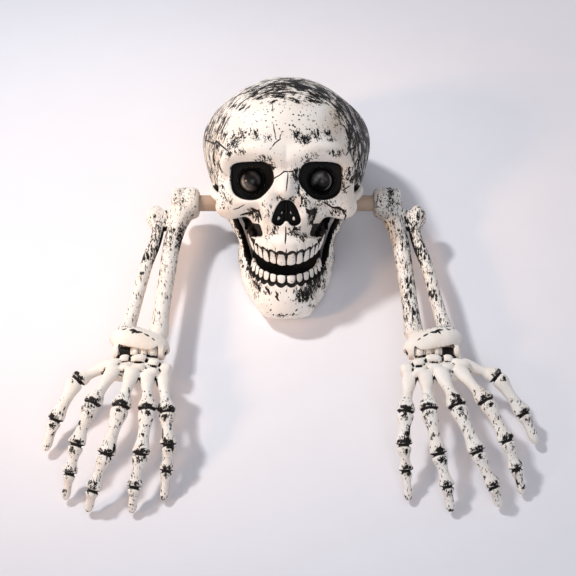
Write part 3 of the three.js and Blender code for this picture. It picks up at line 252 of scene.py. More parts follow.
class Field:  # distances to a growing form on a grid of millimetres, negative inside
    def __init__(self, low, high, step, folded=False):
        self.low = np.array(low, float)
        self.step = step
        self.folded = folded  # only the half with X above 0 is worked out
        if folded:
            self.low[0] = 0
        self.size = np.ceil((np.array(high) - self.low) / step).astype(int) + 1
        self.values = np.full(self.size, farAway, np.float32)

    def window(self, low, high):
        first = np.clip(np.floor((np.array(low) - self.low) / self.step).astype(int), 0, self.size - 1)
        last = np.clip(np.ceil((np.array(high) - self.low) / self.step).astype(int) + 1, first + 1, self.size)
        places = [
            (self.low[k] + self.step * np.arange(first[k], last[k])).astype(np.float32) for k in range(3)
        ]
        return tuple(slice(a, b) for a, b in zip(first, last)), np.meshgrid(*places, indexing="ij", sparse=True)

    def whole(self):
        return self.window(self.low, self.low + self.step * self.size)

    def join(self, form, blend):
        window, values = form(self, blend + margins["join"])
        self.values[window] = softLeast(self.values[window], values, blend)

    def carve(self, form, blend):
        window, values = form(self, blend + margins["carve"])
        self.values[window] = softMost(self.values[window], -values, blend)

    def keep(self, form, blend):  # what lies inside the form too
        window, values = form(self, farAway)
        self.values[window] = softMost(self.values[window], values, blend)

    def unfolded(self):
        whole = Field(self.low, self.low, self.step)
        whole.values = np.concatenate([self.values[:0:-1], self.values], 0)
        whole.size = np.array(whole.values.shape)
        whole.low = self.low - [self.step * (self.size[0] - 1), 0, 0]
        return whole

    def sample(self, points):
        q = np.clip((points - self.low) / self.step, 0, self.size - 1.001)
        base = q.astype(int)
        share = q - base
        total = np.zeros(len(q))
        for corner in range(8):
            bits = np.array([corner >> 2 & 1, corner >> 1 & 1, corner & 1])
            weight = np.prod(np.where(bits, share, 1 - share), 1)
            total += weight * self.values[tuple((base + bits).T)]
        return total

    def slopes(self, points):
        reach = 0.7 * self.step
        ways = [
            self.sample(points + reach * np.eye(3)[k]) - self.sample(points - reach * np.eye(3)[k])
            for k in range(3)
        ]
        slope = np.stack(ways, 1)
        return slope / np.maximum(np.linalg.norm(slope, axis=1, keepdims=True), 1e-6)

    def hollows(self, points, normals, reaches):  # 0 on open surfaces, towards 1 in creases
        parts = [np.clip(1 - self.sample(points + normals * r) / r, 0, 1) for r in reaches]
        return np.mean(parts, 0)


def ovalDistance(near, steep):  # from the share of the way to an oval's skin and that share's slope
    return near * (near - 1) / np.maximum(steep, 1e-4)


def ball(place, radii, power=2, turn=0, turned=(0, 2)):  # turn mixes the two axes in turned
    place, radii = np.array(place, float), np.array(radii, float)
    around = np.full(3, radii.max()) if turn else radii
    cosine, sine = math.cos(turn), math.sin(turn)
    first, second = turned

    def form(field, margin):
        window, places = field.window(place - around - margin, place + around + margin)
        away = [p - q for p, q in zip(places, place)]
        if turn:
            a, b = away[first], away[second]
            away[first], away[second] = a * cosine + b * sine, b * cosine - a * sine
        shares = [np.abs(a) / r for a, r in zip(away, radii)]
        near = (shares[0] ** power + shares[1] ** power + shares[2] ** power) ** (1 / power)
        steep = np.sqrt(sum((s / r) ** 2 for s, r in zip(shares, radii)))
        return window, ovalDistance(near, steep).astype(np.float32)

    return form


def cornered(out, round):  # the distance to a block from how far outside each of its sides a place is
    outside = np.sqrt(sum(np.maximum(o, 0) ** 2 for o in out))
    most = out[0]
    for o in out[1:]:
        most = np.maximum(most, o)
    return (outside + np.minimum(most, 0) - round).astype(np.float32)


def box(low, high, round=0):
    low, high = np.array(low, float), np.array(high, float)

    def form(field, margin):
        window, places = field.window(low - margin, high + margin)
        out = [np.abs(p - (a + b) / 2) - (b - a) / 2 + round for p, a, b in zip(places, low, high)]
        return window, cornered(out, round)

    return form


def rod(place, axis, low, high, radius, round=0.3):  # along one of the field's own axes
    others = [k for k in range(3) if k != axis]

    def form(field, margin):
        lowest = np.array(place, float) - radius - margin
        highest = np.array(place, float) + radius + margin
        lowest[axis], highest[axis] = low - margin, high + margin
        window, p = field.window(lowest, highest)
        across = np.sqrt(sum((p[k] - place[k]) ** 2 for k in others)) - radius + round
        along = np.abs(p[axis] - (low + high) / 2) - (high - low) / 2 + round
        return window, cornered([across, along], round)

    return form


def sweep(stations, flat=None):
    # a form along (x, y, z, radius) stations, or with flat, an axis, (x, y, z, across, half along flat)
    stations = [np.array(s, float) for s in stations]

    def form(field, margin):
        centres = np.array([s[:3] for s in stations])
        reach = max(s[3:].max() for s in stations) + margin
        window, _ = field.window(centres.min(0) - reach, centres.max(0) + reach)
        start = [w.start for w in window]
        values = np.full([w.stop - w.start for w in window], farAway, np.float32)
        for a, b in zip(stations, stations[1:]):
            size = max(a[3:].max(), b[3:].max()) + margin
            part, p = field.window(np.minimum(a[:3], b[:3]) - size, np.maximum(a[:3], b[:3]) + size)
            run = b[:3] - a[:3]
            o = [p[k] - np.float32(a[k]) for k in range(3)]
            t = np.clip(sum(o[k] * np.float32(run[k]) for k in range(3)) / (run @ run + 1e-9), 0, 1)
            away = [o[k] - t * np.float32(run[k]) for k in range(3)]
            square = away[0] ** 2 + away[1] ** 2 + away[2] ** 2
            first = a[3] + (b[3] - a[3]) * t
            if flat is None:
                made = np.sqrt(square) - first
            else:
                second = a[4] + (b[4] - a[4]) * t
                h = sum(away[k] * np.float32(flat[k]) for k in range(3)) ** 2
                r = np.maximum(square - h, 0)
                near = np.sqrt(r / first ** 2 + h / second ** 2)
                steep = np.sqrt(r / first ** 4 + h / second ** 4)
                made = ovalDistance(near, steep)
            inner = tuple(slice(q.start - s, q.stop - s) for q, s in zip(part, start))
            values[inner] = np.minimum(values[inner], made)
        return window, values

    return form


def curved(stations, parts=4):  # more stations on a smooth curve through the given ones
    s = np.array(stations, float)
    padded = np.vstack([2 * s[0] - s[1], s, 2 * s[-1] - s[-2]])
    rows = []
    for i in range(1, len(padded) - 2):
        a, b, c, d = padded[i - 1:i + 3]
        for k in range(parts):
            t = k / parts
            rows.append((2 * b + (c - a) * t + (2 * a - 5 * b + 4 * c - d) * t * t
                         + (3 * b - a - 3 * c + d) * t ** 3) / 2)
    return np.vstack([rows, s[-1]])


def closedCurve(outline, parts=4):  # a smooth closed line through (across, up) places
    p = np.array(outline, float)
    rows = curved(np.vstack([p[-2:], p, p[:2]]), parts)
    return rows[2 * parts:-parts - 1]


# From a field to a piece

mostTriangles = 190000
inset = 0.05 * millimetre  # a skin stays this far inside the box round the solids


def meshOf(name, points, faces):
    mesh = bpy.data.meshes.new(name)
    faces = np.asarray(faces, np.int32)
    count, sides = faces.shape
    mesh.vertices.add(len(points))
    mesh.vertices.foreach_set("co", np.asarray(points, np.float32).ravel())
    mesh.loops.add(count * sides)
    mesh.loops.foreach_set("vertex_index", faces.ravel())
    mesh.polygons.add(count)
    mesh.polygons.foreach_set("loop_start", np.arange(0, count * sides, sides, dtype=np.int32))
    mesh.polygons.foreach_set("use_smooth", np.ones(count, bool))
    mesh.update(calc_edges=True)
    return mesh


def placesOf(mesh):
    flat = np.zeros(3 * len(mesh.vertices), np.float32)
    mesh.vertices.foreach_get("co", flat)
    return flat.reshape(-1, 3).astype(float)


def skinOf(name, field, outward):
    # the field's surface as an object; outward takes the field's places to the object's frame
    grid = openvdb.FloatGrid(3 * field.step)
    grid.copyFromArray(np.clip(field.values, -3 * field.step, 3 * field.step))
    points, quads = grid.convertToQuads(isovalue=0.0)
    points = field.low + np.asarray(points, float) * field.step
    there = outward(points)
    a, b, c, d = (there[quads[:, k]] for k in range(4))
    volume = np.einsum("ij,ij->i", a, np.cross(b, c) + np.cross(c, d)).sum()
    if volume < 0:
        quads = quads[:, ::-1]
    mesh = meshOf(name, points, quads)
    piece = bpy.data.objects.new(name, mesh)
    scene.collection.objects.link(piece)
    if 2 * len(quads) > mostTriangles:
        thin = piece.modifiers.new("thin", "DECIMATE")
        thin.ratio = mostTriangles / (2 * len(quads))
        thinned = bpy.data.meshes.new_from_object(piece.evaluated_get(bpy.context.evaluated_depsgraph_get()))
        piece.modifiers.clear()
        piece.data = thinned
        bpy.data.meshes.remove(mesh)
        mesh = thinned
        mesh.name = name
        mesh.polygons.foreach_set("use_smooth", np.ones(len(mesh.polygons), bool))
    points = placesOf(mesh)
    low, high = (np.array(corner) for corner in cadBox)
    placed = np.clip(outward(points), low + inset, high - inset)
    mesh.vertices.foreach_set("co", placed.astype(np.float32).ravel())
    mesh.update()
    print(name, "has", len(mesh.polygons), "faces")
    return piece, points, field.slopes(points)


# what the ink, the black paint with its painted shade and the painted warm shade go by at each point, and the plain
# value where a piece gives none
marks = {"hollow": 0, "smudge": 0, "speck": 0.3, "hatch": 0, "crackSide": 30, "crackNear": 30,
         "tooth": 9, "pool": 9, "tan": 0}
plainStretch = {"stroke": (0.6, 0.35, 0.16), "dab": (0.55, 0.4, 0.22)}


def setMarks(piece, points, given):
    for name, plain in marks.items():
        setMark(piece, name, given.get(name, plain) + np.zeros(len(points)))
    for name, stretch in plainStretch.items():
        setMark(piece, name, given.get(name, points * stretch))


def setMark(piece, name, values):
    kind = "FLOAT_VECTOR" if np.ndim(values) == 2 else "FLOAT"
    attribute = piece.data.attributes.new(name, kind, "POINT")
    attribute.data.foreach_set("vector" if kind == "FLOAT_VECTOR" else "value",
                               np.asarray(values, np.float32).ravel())


def ramp(values, start, end):
    t = np.clip((values - start) / (end - start), 0, 1)
    return t * t * (3 - 2 * t)


def region(ranges, **values):  # 1 where every value has passed its range, 0 where one is short of it
    total = 1.0
    for name, (start, end) in ranges.items():
        total = total * ramp(values[name], start, end)
    return total


def patches(across, up, rows):  # soft spots at (across, up, half width, half height, strength)
    total = np.zeros(len(across))
    for x, u, wide, high, strength in rows:
        away = ((across - x) / wide) ** 2 + ((up - u) / high) ** 2
        total = np.maximum(total, strength * np.exp(-0.8 * away ** 1.5))
    return total


def beside(across, up, start, end):
    # the share of a straight run that a place lies beside, and how far off the run it is
    run = (end[0] - start[0], end[1] - start[1])
    x, u = across - start[0], up - start[1]
    t = np.clip((x * run[0] + u * run[1]) / (run[0] ** 2 + run[1] ** 2), 0, 1)
    return t, np.hypot(x - t * run[0], u - t * run[1])


def lineMarks(across, up, lines):
    # signed distances to the nearest drawn line in half widths of it, and plain ones past its ends
    near = np.full(len(across), 50.0)
    side = np.full(len(across), 50.0)
    for wide, line in lines:
        line = np.array(line, float)
        lengths = np.hypot(*np.diff(line, axis=0).T)
        gone = 0
        for start, end, long in zip(line, line[1:], lengths):
            t, away = beside(across, up, start, end)
            signed = ((across - start[0]) * (end[1] - start[1]) - (up - start[1]) * (end[0] - start[0])) / long
            whole = (gone + t * long) / lengths.sum()
            half = wide * (0.35 + 0.65 * np.sqrt(np.clip(4 * whole * (1 - whole), 0, 1)))  # thin at its ends
            gone += long
            closer = away < near
            side = np.where(closer, signed / half, side)
            near = np.where(closer, away / half, near)
    return side, near


# The skull's own frame: across, forward and up the face

skull = {"halfWidth": 75, "halfLength": 90, "halfHeight": 107, "wall": 2.4, "seamGap": 0.3,
         "setback": 50, "tubeHeight": 32.695, "tilt": 45, "clearance": 0.35, "leastWall": 1.1,
         "side": 90, "front": 110}
tube = {"radius": 7.5, "bore": 5.5, "half": 100}
hub = (0, -skull["setback"], skull["tubeHeight"])
sides = {"Left": -1, "Right": 1}
scale = np.array([skull["halfWidth"], skull["halfLength"], skull["halfHeight"]])
tiltSine = math.sin(math.radians(skull["tilt"]))
tiltCosine = math.cos(math.radians(skull["tilt"]))


def fromSkull(points):
    x, f, u = points.T
    y = -skull["setback"] - f * tiltCosine + u * tiltSine
    z = skull["tubeHeight"] + f * tiltSine + u * tiltCosine
    return np.stack([x, y, z], 1) * millimetre


def inSkull(share):
    return np.array(share[:3]) * scale


def skullBall(row, grow=0.0, **how):
    return ball(inSkull(row["place"]), np.array(row["radii"]) * scale + grow, **how)


def skullChain(rows, parts=4):
    return sweep(curved([(*inSkull(r), r[3] * skull["halfWidth"]) for r in rows], parts))


def groundForm(height):  # everything below a height over the ground
    def form(field, margin):
        window, (x, f, u) = field.whole()
        return window, (skull["tubeHeight"] + (f + u) * tiltSine - height + 0 * x).astype(np.float32)

    return form


# where the two mouldings meet, as (forward, up) shares from the crown down
seam = [(0.05, 1.3), (0.28, 0.56), (0.33, 0.33), (0.09, 0.2), (-0.2, 0.13), (-0.22, -0.7)]


def seamForm(shift):  # negative in front of the seam
    line = [(f * skull["halfLength"] + shift, u * skull["halfHeight"]) for f, u in seam]
    falling = line[::-1]

    def form(field, margin):
        window, (x, f, u) = field.whole()
        f, u = np.broadcast_arrays(f, u)
        front = np.interp(u[0, 0], [p[1] for p in falling], [p[0] for p in falling])
        near = np.full(f.shape, farAway, np.float32)
        for start, end in zip(line, line[1:]):
            near = np.minimum(near, beside(f, u, start, end)[1])
        return window, np.where(f > front, -near, near).astype(np.float32) + 0 * x

    return form


# shares of the skull's half sizes: across, forward and up; blends are shares of its half width
vault = [
    {"place": (0, -0.18, 0.42), "radii": (1.01, 1, 0.69), "blend": 0.1},
    {"place": (0, 0.22, 0.45), "radii": (0.82, 0.64, 0.54), "blend": 0.16},
    {"place": (0.55, -0.36, 0.55), "radii": (0.49, 0.42, 0.32), "blend": 0.2},
]
eye = {
    "outline": [
        (0.655, 0.265), (0.645, 0.32), (0.57, 0.347), (0.412, 0.355), (0.259, 0.35), (0.18, 0.31), (0.151, 0.215),
        (0.2, 0.142), (0.305, 0.068), (0.412, 0.046), (0.54, 0.06), (0.622, 0.103), (0.652, 0.175)],
    "floor": 0.58, "across": 0.42, "up": 0.2, "lens": 10.5, "cup": 12.05, "flange": 13.25, "lamp": 5,
    "flangeThick": 2.4, "flangeGap": 0.7, "flangeRoom": 1.2, "lampRoom": 20, "lip": 3.6, "collar": 1.2,
    "swell": 1.09, "hole": 2.85,
    # painted reflections on each lens, as (distance out, thinness, turn, strength)
    "glows": {
        "Left": [(0.74, 0.09, 3.6, 0.9), (0.5, 0.3, 4.1, 0.35), (0.62, 0.16, 0.7, 0.3)],
        "Right": [(0.5, 0.26, 2.4, 0.75), (0.8, 0.06, -0.15, 0.7), (0.3, 0.2, 1.2, 0.2)]},
}
jawRing = {"inner": 55.1, "width": 5.7, "radius": 10.97, "room": 0.7}
clearance = skull["clearance"]
crisp = 0.3  # the blend of a machined edge


def ringPocket(grow=0.0):  # the room that the jaw's rings turn in
    inner = jawRing["inner"] - clearance - grow
    return rod((0, 0, 0), 0, inner, skull["side"], jawRing["radius"] + jawRing["room"] + grow)


def tubeHole():
    return rod((0, 0, 0), 0, -5, skull["side"], tube["radius"] + clearance)


def growVault(field):
    for row in vault:
        field.join(skullBall(row), row["blend"] * skull["halfWidth"])


def outlineForm(outline, floor, grow):
    # straight in along the forward axis from (across, up) shares, down to a floor
    line = [tuple(row) for row in closedCurve(outline) * scale[[0, 2]]]
    across, up = zip(*line)
    reach = grow + 5

    def form(field, margin):
        window, (x, f, u) = field.window((min(across) - reach, floor - margin, min(up) - reach),
                                         (max(across) + reach, skull["front"], max(up) + reach))
        x, u = (a[:, :1] for a in np.broadcast_arrays(x, f, u)[::2])
        near = np.full(x.shape, farAway)
        inside = np.zeros(x.shape, bool)
        for start, end in zip(line, line[1:] + line[:1]):
            near = np.minimum(near, beside(x, u, start, end)[1])
            crosses = (start[1] > u) != (end[1] > u)
            cut = start[0] + (u - start[1]) / (end[1] - start[1] + 1e-12) * (end[0] - start[0])
            inside ^= crosses & (x < cut)
        flat = np.where(inside, -near, near) - grow
        return window, np.maximum(flat, floor - f).astype(np.float32)

    return form


eyeFloor = eye["floor"] * skull["halfLength"]
cupBack = eyeFloor - skull["wall"] - eye["flangeGap"] - eye["flangeThick"]


def socketForm(grow):
    return outlineForm(eye["outline"], eyeFloor - grow, grow)


def eyeRod(low, high, radius):
    place = (eye["across"] * skull["halfWidth"], 0, eye["up"] * skull["halfHeight"])
    return rod(place, 1, low, high, radius)


nose = {
    "outline": [(0, 0.043), (0.055, 0.036), (0.1, 0.002), (0.135, -0.045), (0.163, -0.1), (0.168, -0.132),
                (0.145, -0.155), (0.1, -0.167), (0.05, -0.158), (0.02, -0.13), (0, -0.126)],
    "floor": 0.74, "septum": {"half": 0.85, "behind": 2, "front": 74, "low": -19, "high": 6},
    "scrolls": [(0.092, 0.775, -0.112, 2.0, 2.7), (0.052, 0.78, -0.06, 0.9, 2.6)],
    "scrollDepth": 3, "scrollTurn": 0.25,
}
noseFloor = nose["floor"] * skull["halfLength"]


def noseForm(grow):
    whole = nose["outline"] + [(-x, u) for x, u in nose["outline"][-2:0:-1]]
    return outlineForm(whole, noseFloor - grow, grow)


def scrolls(grow=0.0, ahead=0.0):  # the curled bones at the sides of the nose
    for x, f, u, across, high in nose["scrolls"]:
        yield ball(inSkull((x, f, u)) + [0, ahead, 0], (across + grow, nose["scrollDepth"], high + grow),
                   turn=nose["scrollTurn"])


# Teeth on the bite line, in places along it, out from it and up the root

bite = {"halfWidth": 0.43, "depth": 0.49, "back": 0.4, "front": -0.5, "height": 0.12, "lastTooth": 55}
toothHeight = bite["height"] * skull["halfHeight"]
# from the front tooth back, as shares of the skull's half width
toothWidths = [0.115, 0.095, 0.105, 0.1, 0.1, 0.13, 0.12]
gum = {"half": 5.4, "thick": 5.6, "below": 1.2, "ripple": 0.9, "thinFrom": 20, "thinOver": 26}


def alongBite(x, f, u, shape):
    across = (bite["halfWidth"] - shape["inset"]) * skull["halfWidth"]
    deep = (bite["depth"] - shape["inset"]) * skull["halfLength"]
    back = bite["back"] * skull["halfLength"]
    angle = np.arctan2(x / across, (f - back) / deep)
    norm = np.sqrt((x / across) ** 2 + ((f - back) / deep) ** 2)
    steep = np.sqrt((x / across ** 2) ** 2 + ((f - back) / deep ** 2) ** 2)
    out = norm * (norm - 1) / np.maximum(steep, 1e-5)
    turns = np.linspace(0, math.pi, 200)
    rises = (deep - deep * np.cos(turns)) * shape["rise"]
    steps = np.sqrt(np.diff(across * np.sin(turns)) ** 2 + np.diff(deep * np.cos(turns)) ** 2 + np.diff(rises) ** 2)
    run = np.interp(np.abs(angle), turns, np.concatenate([[0], np.cumsum(steps)])) * np.sign(angle)
    level = bite["front"] * skull["halfHeight"] + (deep - deep * np.cos(angle)) * shape["rise"]
    level = level - shape["gap"] * skull["halfHeight"]
    return run, out, (level - u if shape["lower"] else u - level)


def toothCells(run):  # how far along its tooth a place is, and half that tooth's width
    edges = np.concatenate([[0], np.cumsum(toothWidths)]) * skull["halfWidth"]
    index = np.clip(np.searchsorted(edges, np.abs(run)) - 1, 0, len(toothWidths) - 1)
    half = np.diff(edges)[index] / 2
    return (np.abs(run) - edges[index] - half) * np.sign(run), half, index


upperShape = {
    "lower": False, "inset": 0, "gap": 0, "rise": 0.5, "grid": ((-36, 30, -73.5), (36, 90, -13.5)),
    "heights": (0, 0.1, 0.3, 0.62, 0.95, 1.3), "wide": (0.86, 0.97, 0.985, 0.88, 0.68, 0.55),
    "thick": (0.2, 0.34, 0.5, 0.66, 0.7, 0.6), "gumLine": 0.93, "arch": 0.22, "bulge": 0.55, "gumEnd": 60,
}
lowerShape = {
    "lower": True, "inset": 0.035, "gap": 0.075, "rise": 0.34, "grid": ((-36, 30, -84), (36, 90, -40)),
    "heights": (0, 0.1, 0.3, 0.62, 0.95, 1.3), "wide": (0.84, 0.95, 0.96, 0.8, 0.6, 0.5),
    "thick": (0.22, 0.36, 0.5, 0.62, 0.62, 0.5), "gumLine": 0.7, "arch": 0.2, "bulge": 0.4, "gumEnd": 53.8,
}
tooth = {"step": 0.5, "square": 2.6, "uneven": 0.3, "end": 1.3, "endBlend": 2.2}


def toothForm(shape):
    def form(field, margin):
        window, (x, f, u) = field.whole()
        run, out, up = alongBite(x + 0 * f, f + 0 * x, u, shape)
        along, half, index = toothCells(run)
        share = up / toothHeight
        wide = np.interp(share, shape["heights"], shape["wide"]) * half
        thick = np.interp(share, shape["heights"], shape["thick"]) * half + 0 * run
        lean = shape["bulge"] * np.clip(share, 0, 1.2)
        a, b = np.abs(along) / wide, np.abs(out - lean) / thick
        near = (a ** tooth["square"] + b ** tooth["square"]) ** (1 / tooth["square"])
        made = (near - 1) * np.minimum(wide, thick)
        uneven = tooth["uneven"] * np.sin(2.7 * index + 1.3 * shape["lower"] + np.sign(run))
        ends = softMost(uneven - up, up - tooth["end"] * toothHeight, 1.0)
        last = np.abs(run) - sum(toothWidths) * skull["halfWidth"] + 0.3
        return window, np.maximum(softMost(made, ends, tooth["endBlend"]), last).astype(np.float32)

    return form


def gumLine(shape, along, half):  # where a tooth comes out of the gum, up its root
    return toothHeight * (shape["gumLine"] - shape["arch"] * (along / half) ** 2)


def gumForm(shape):
    def form(field, margin):
        window, (x, f, u) = field.whole()
        run, out, up = alongBite(x + 0 * f, f + 0 * x, u, shape)
        along, half, _ = toothCells(run)
        ripple = gum["ripple"] * np.clip(1 - (along / half) ** 2, -0.4, 1) * np.clip(2.1 - up / toothHeight, 0, 1)
        back = np.clip((np.abs(run) - gum["thinFrom"]) / gum["thinOver"], 0, 1)
        thick = gum["thick"] + ripple - 1.2 * back
        top = gum["below"] * toothHeight + gum["half"] * (1 - 1.7 * back)
        made = softMost(np.abs(out - 0.3) - thick, gumLine(shape, along, half) - up, 2.4)
        made = softMost(made, up - top, 3)
        return window, np.maximum(made, np.abs(run) - shape["gumEnd"]).astype(np.float32)

    return form


def toothMarks(points, shape):  # how far inside the white of its tooth a place is
    run, out, up = alongBite(*points.T, shape)
    along, half, _ = toothCells(run)
    wide = np.interp(up / toothHeight, shape["heights"], shape["wide"]) * half
    root = np.clip(up / toothHeight - 0.35, 0, 1)
    clear = wide * (1 - 0.22 * root) - np.abs(along) - 0.1
    return np.minimum(clear, 0.7 * (gumLine(shape, along, half) - up) - 0.5)


# The face: front moulding with brows, cheeks, sockets, nose and gum

face = {
    "step": 0.95, "grid": ((0, -28, -68), (83, 96, 128)),
    "blends": {"ring": 0.5, "gum": 4, "throat": 1, "socket": 2.2, "nose": 1.2, "septum": 0.8, "arch": 2.5},
    "forms": [
        {"place": (0.65, 0.59, -0.02), "radii": (0.2, 0.13, 0.105), "blend": 0.1},
        {"place": (0, 0.51, -0.12), "radii": (0.42, 0.41, 0.28), "blend": 0.12},
        {"place": (0, 0.53, -0.32), "radii": (0.36, 0.425, 0.16), "blend": 0.08},
        {"place": (0, 0.5, 0.14), "radii": (0.66, 0.3, 0.3), "blend": 0.14},
    ],
    "ridges": [
        {"blend": 0.16, "path": [
            (0.09, 0.84, 0.4, 0.065), (0.29, 0.85, 0.45, 0.07), (0.51, 0.785, 0.455, 0.065),
            (0.66, 0.68, 0.41, 0.065), (0.73, 0.6, 0.34, 0.065), (0.76, 0.545, 0.225, 0.065),
            (0.71, 0.59, 0.1, 0.075)]},
        {"blend": 0.08, "path": [
            (0.69, 0.59, 0.09, 0.08), (0.59, 0.67, 0.05, 0.07), (0.44, 0.745, 0.03, 0.065),
            (0.27, 0.79, 0.056, 0.065), (0.2, 0.8, 0.11, 0.065)]},
        {"blend": 0.08, "path": [(0, 0.79, 0.33, 0.12), (0, 0.87, 0.13, 0.1)]},
        {"blend": 0.08, "path": [(0.12, 0.78, 0.26, 0.08), (0.2, 0.8, 0.056, 0.085), (0.23, 0.82, -0.075, 0.085)]},
    ],
    "dents": [
        {"place": (0.42, 0.86, -0.1), "radii": (0.13, 0.12, 0.1), "blend": 0.08},
        {"place": (0.34, 0.87, -0.075), "radii": (0.05, 0.06, 0.035), "blend": 0.03},
        {"place": (0.92, 0.45, 0.27), "radii": (0.13, 0.1, 0.13), "blend": 0.08},
        {"place": (0, 0.99, 0.3), "radii": (0.1, 0.1, 0.05), "blend": 0.06},
        {"place": (0.55, 0.56, -0.3), "radii": (0.21, 0.46, 0.18), "blend": 0.05},
    ],
    # blocks that close the view behind the teeth and are painted black as shade, in millimetres
    "throat": [
        ((-1, 18, -68), (24, 21, -40)), ((-1, 18, -60), (29.2, 21, -40)), ((-1, 18, -50), (31.5, 21, -18)),
        ((24, 12, -40), (32.6, 21, -16)), ((26, 6, -31), (35.8, 14, -12)), ((28, 4, -23), (37.8, 10, -8)),
        ((30, 1, -18), (40.2, 8, -4)), ((28, -5, -25), (39.2, 4, -8)), ((30, -5, -17), (41, 1, -4))],
    "arch": [
        (0.6, 0.6, -0.02, 0.07), (0.7, 0.5, 0.02, 0.06), (0.81, 0.38, 0.05, 0.055), (0.885, 0.26, 0.085, 0.05),
        (0.905, 0.09, 0.125, 0.05), (0.88, -0.07, 0.135, 0.055), (0.8, -0.2, 0.135, 0.07)],
    "gumShadow": (0.5, 0.8), "rootShadow": {"narrows": 0.12, "from": 11, "fades": 0.3, "to": 16, "half": 0.25},
    "hollow": {"place": (0, 0.38, 0.02), "radii": (0.42, 0.32, 0.34), "blend": 0.15},
}


def hollowSkull(low, high, step):  # the room inside, as a field to carve away
    room = Field(low, high, step, folded=True)
    growVault(room)
    room.join(skullBall(face["hollow"]), face["hollow"]["blend"] * skull["halfWidth"])
    wall = skull["wall"]
    room.values += wall
    room.join(eyeRod(cupBack - eye["flangeRoom"], eyeFloor - wall, eye["flange"] + clearance), crisp)
    room.join(eyeRod(cupBack - eye["lampRoom"], eyeFloor - wall, eye["lamp"] + clearance), crisp)
    for form in (socketForm(wall), noseForm(wall), ringPocket(wall)):
        room.carve(form, crisp)
    return room


def carveSkull(field, room):
    room.values = np.maximum(room.values, field.values + skull["leastWall"])
    field.values = softMost(field.values, -room.values, 0.4)
    field.carve(tubeHole(), crisp)
    field.carve(groundForm(0), 0.5)


def growFace():
    blends, width = face["blends"], skull["halfWidth"]
    field = Field(*face["grid"], face["step"], folded=True)
    growVault(field)
    for row in face["forms"]:
        field.join(skullBall(row), row["blend"] * width)
    for row in face["ridges"]:
        field.join(skullChain(row["path"]), row["blend"] * width)
    for row in face["dents"]:
        field.carve(skullBall(row), row["blend"] * width)
    field.carve(ringPocket(), blends["ring"])
    field.join(gumForm(upperShape), blends["gum"])
    for lowest, highest in face["throat"]:
        field.join(box(lowest, highest, 0.8), blends["throat"])
    room = hollowSkull(*face["grid"], face["step"])
    field.carve(socketForm(0), blends["socket"])
    field.carve(noseForm(0), blends["nose"])
    septum = nose["septum"]
    field.join(box((-1, noseFloor - septum["behind"], septum["low"]),
                   (septum["half"], septum["front"], septum["high"]), 0.4), blends["septum"])
    for scroll in scrolls():
        field.join(scroll, blends["septum"])
    field.join(skullChain(face["arch"]), blends["arch"])
    carveSkull(field, room)
    field.carve(eyeRod(eyeFloor - 6, eyeFloor + 2.4, eye["cup"] + clearance), crisp)
    field.keep(seamForm(skull["seamGap"] / 2), 0.4)
    return field.unfolded(), room


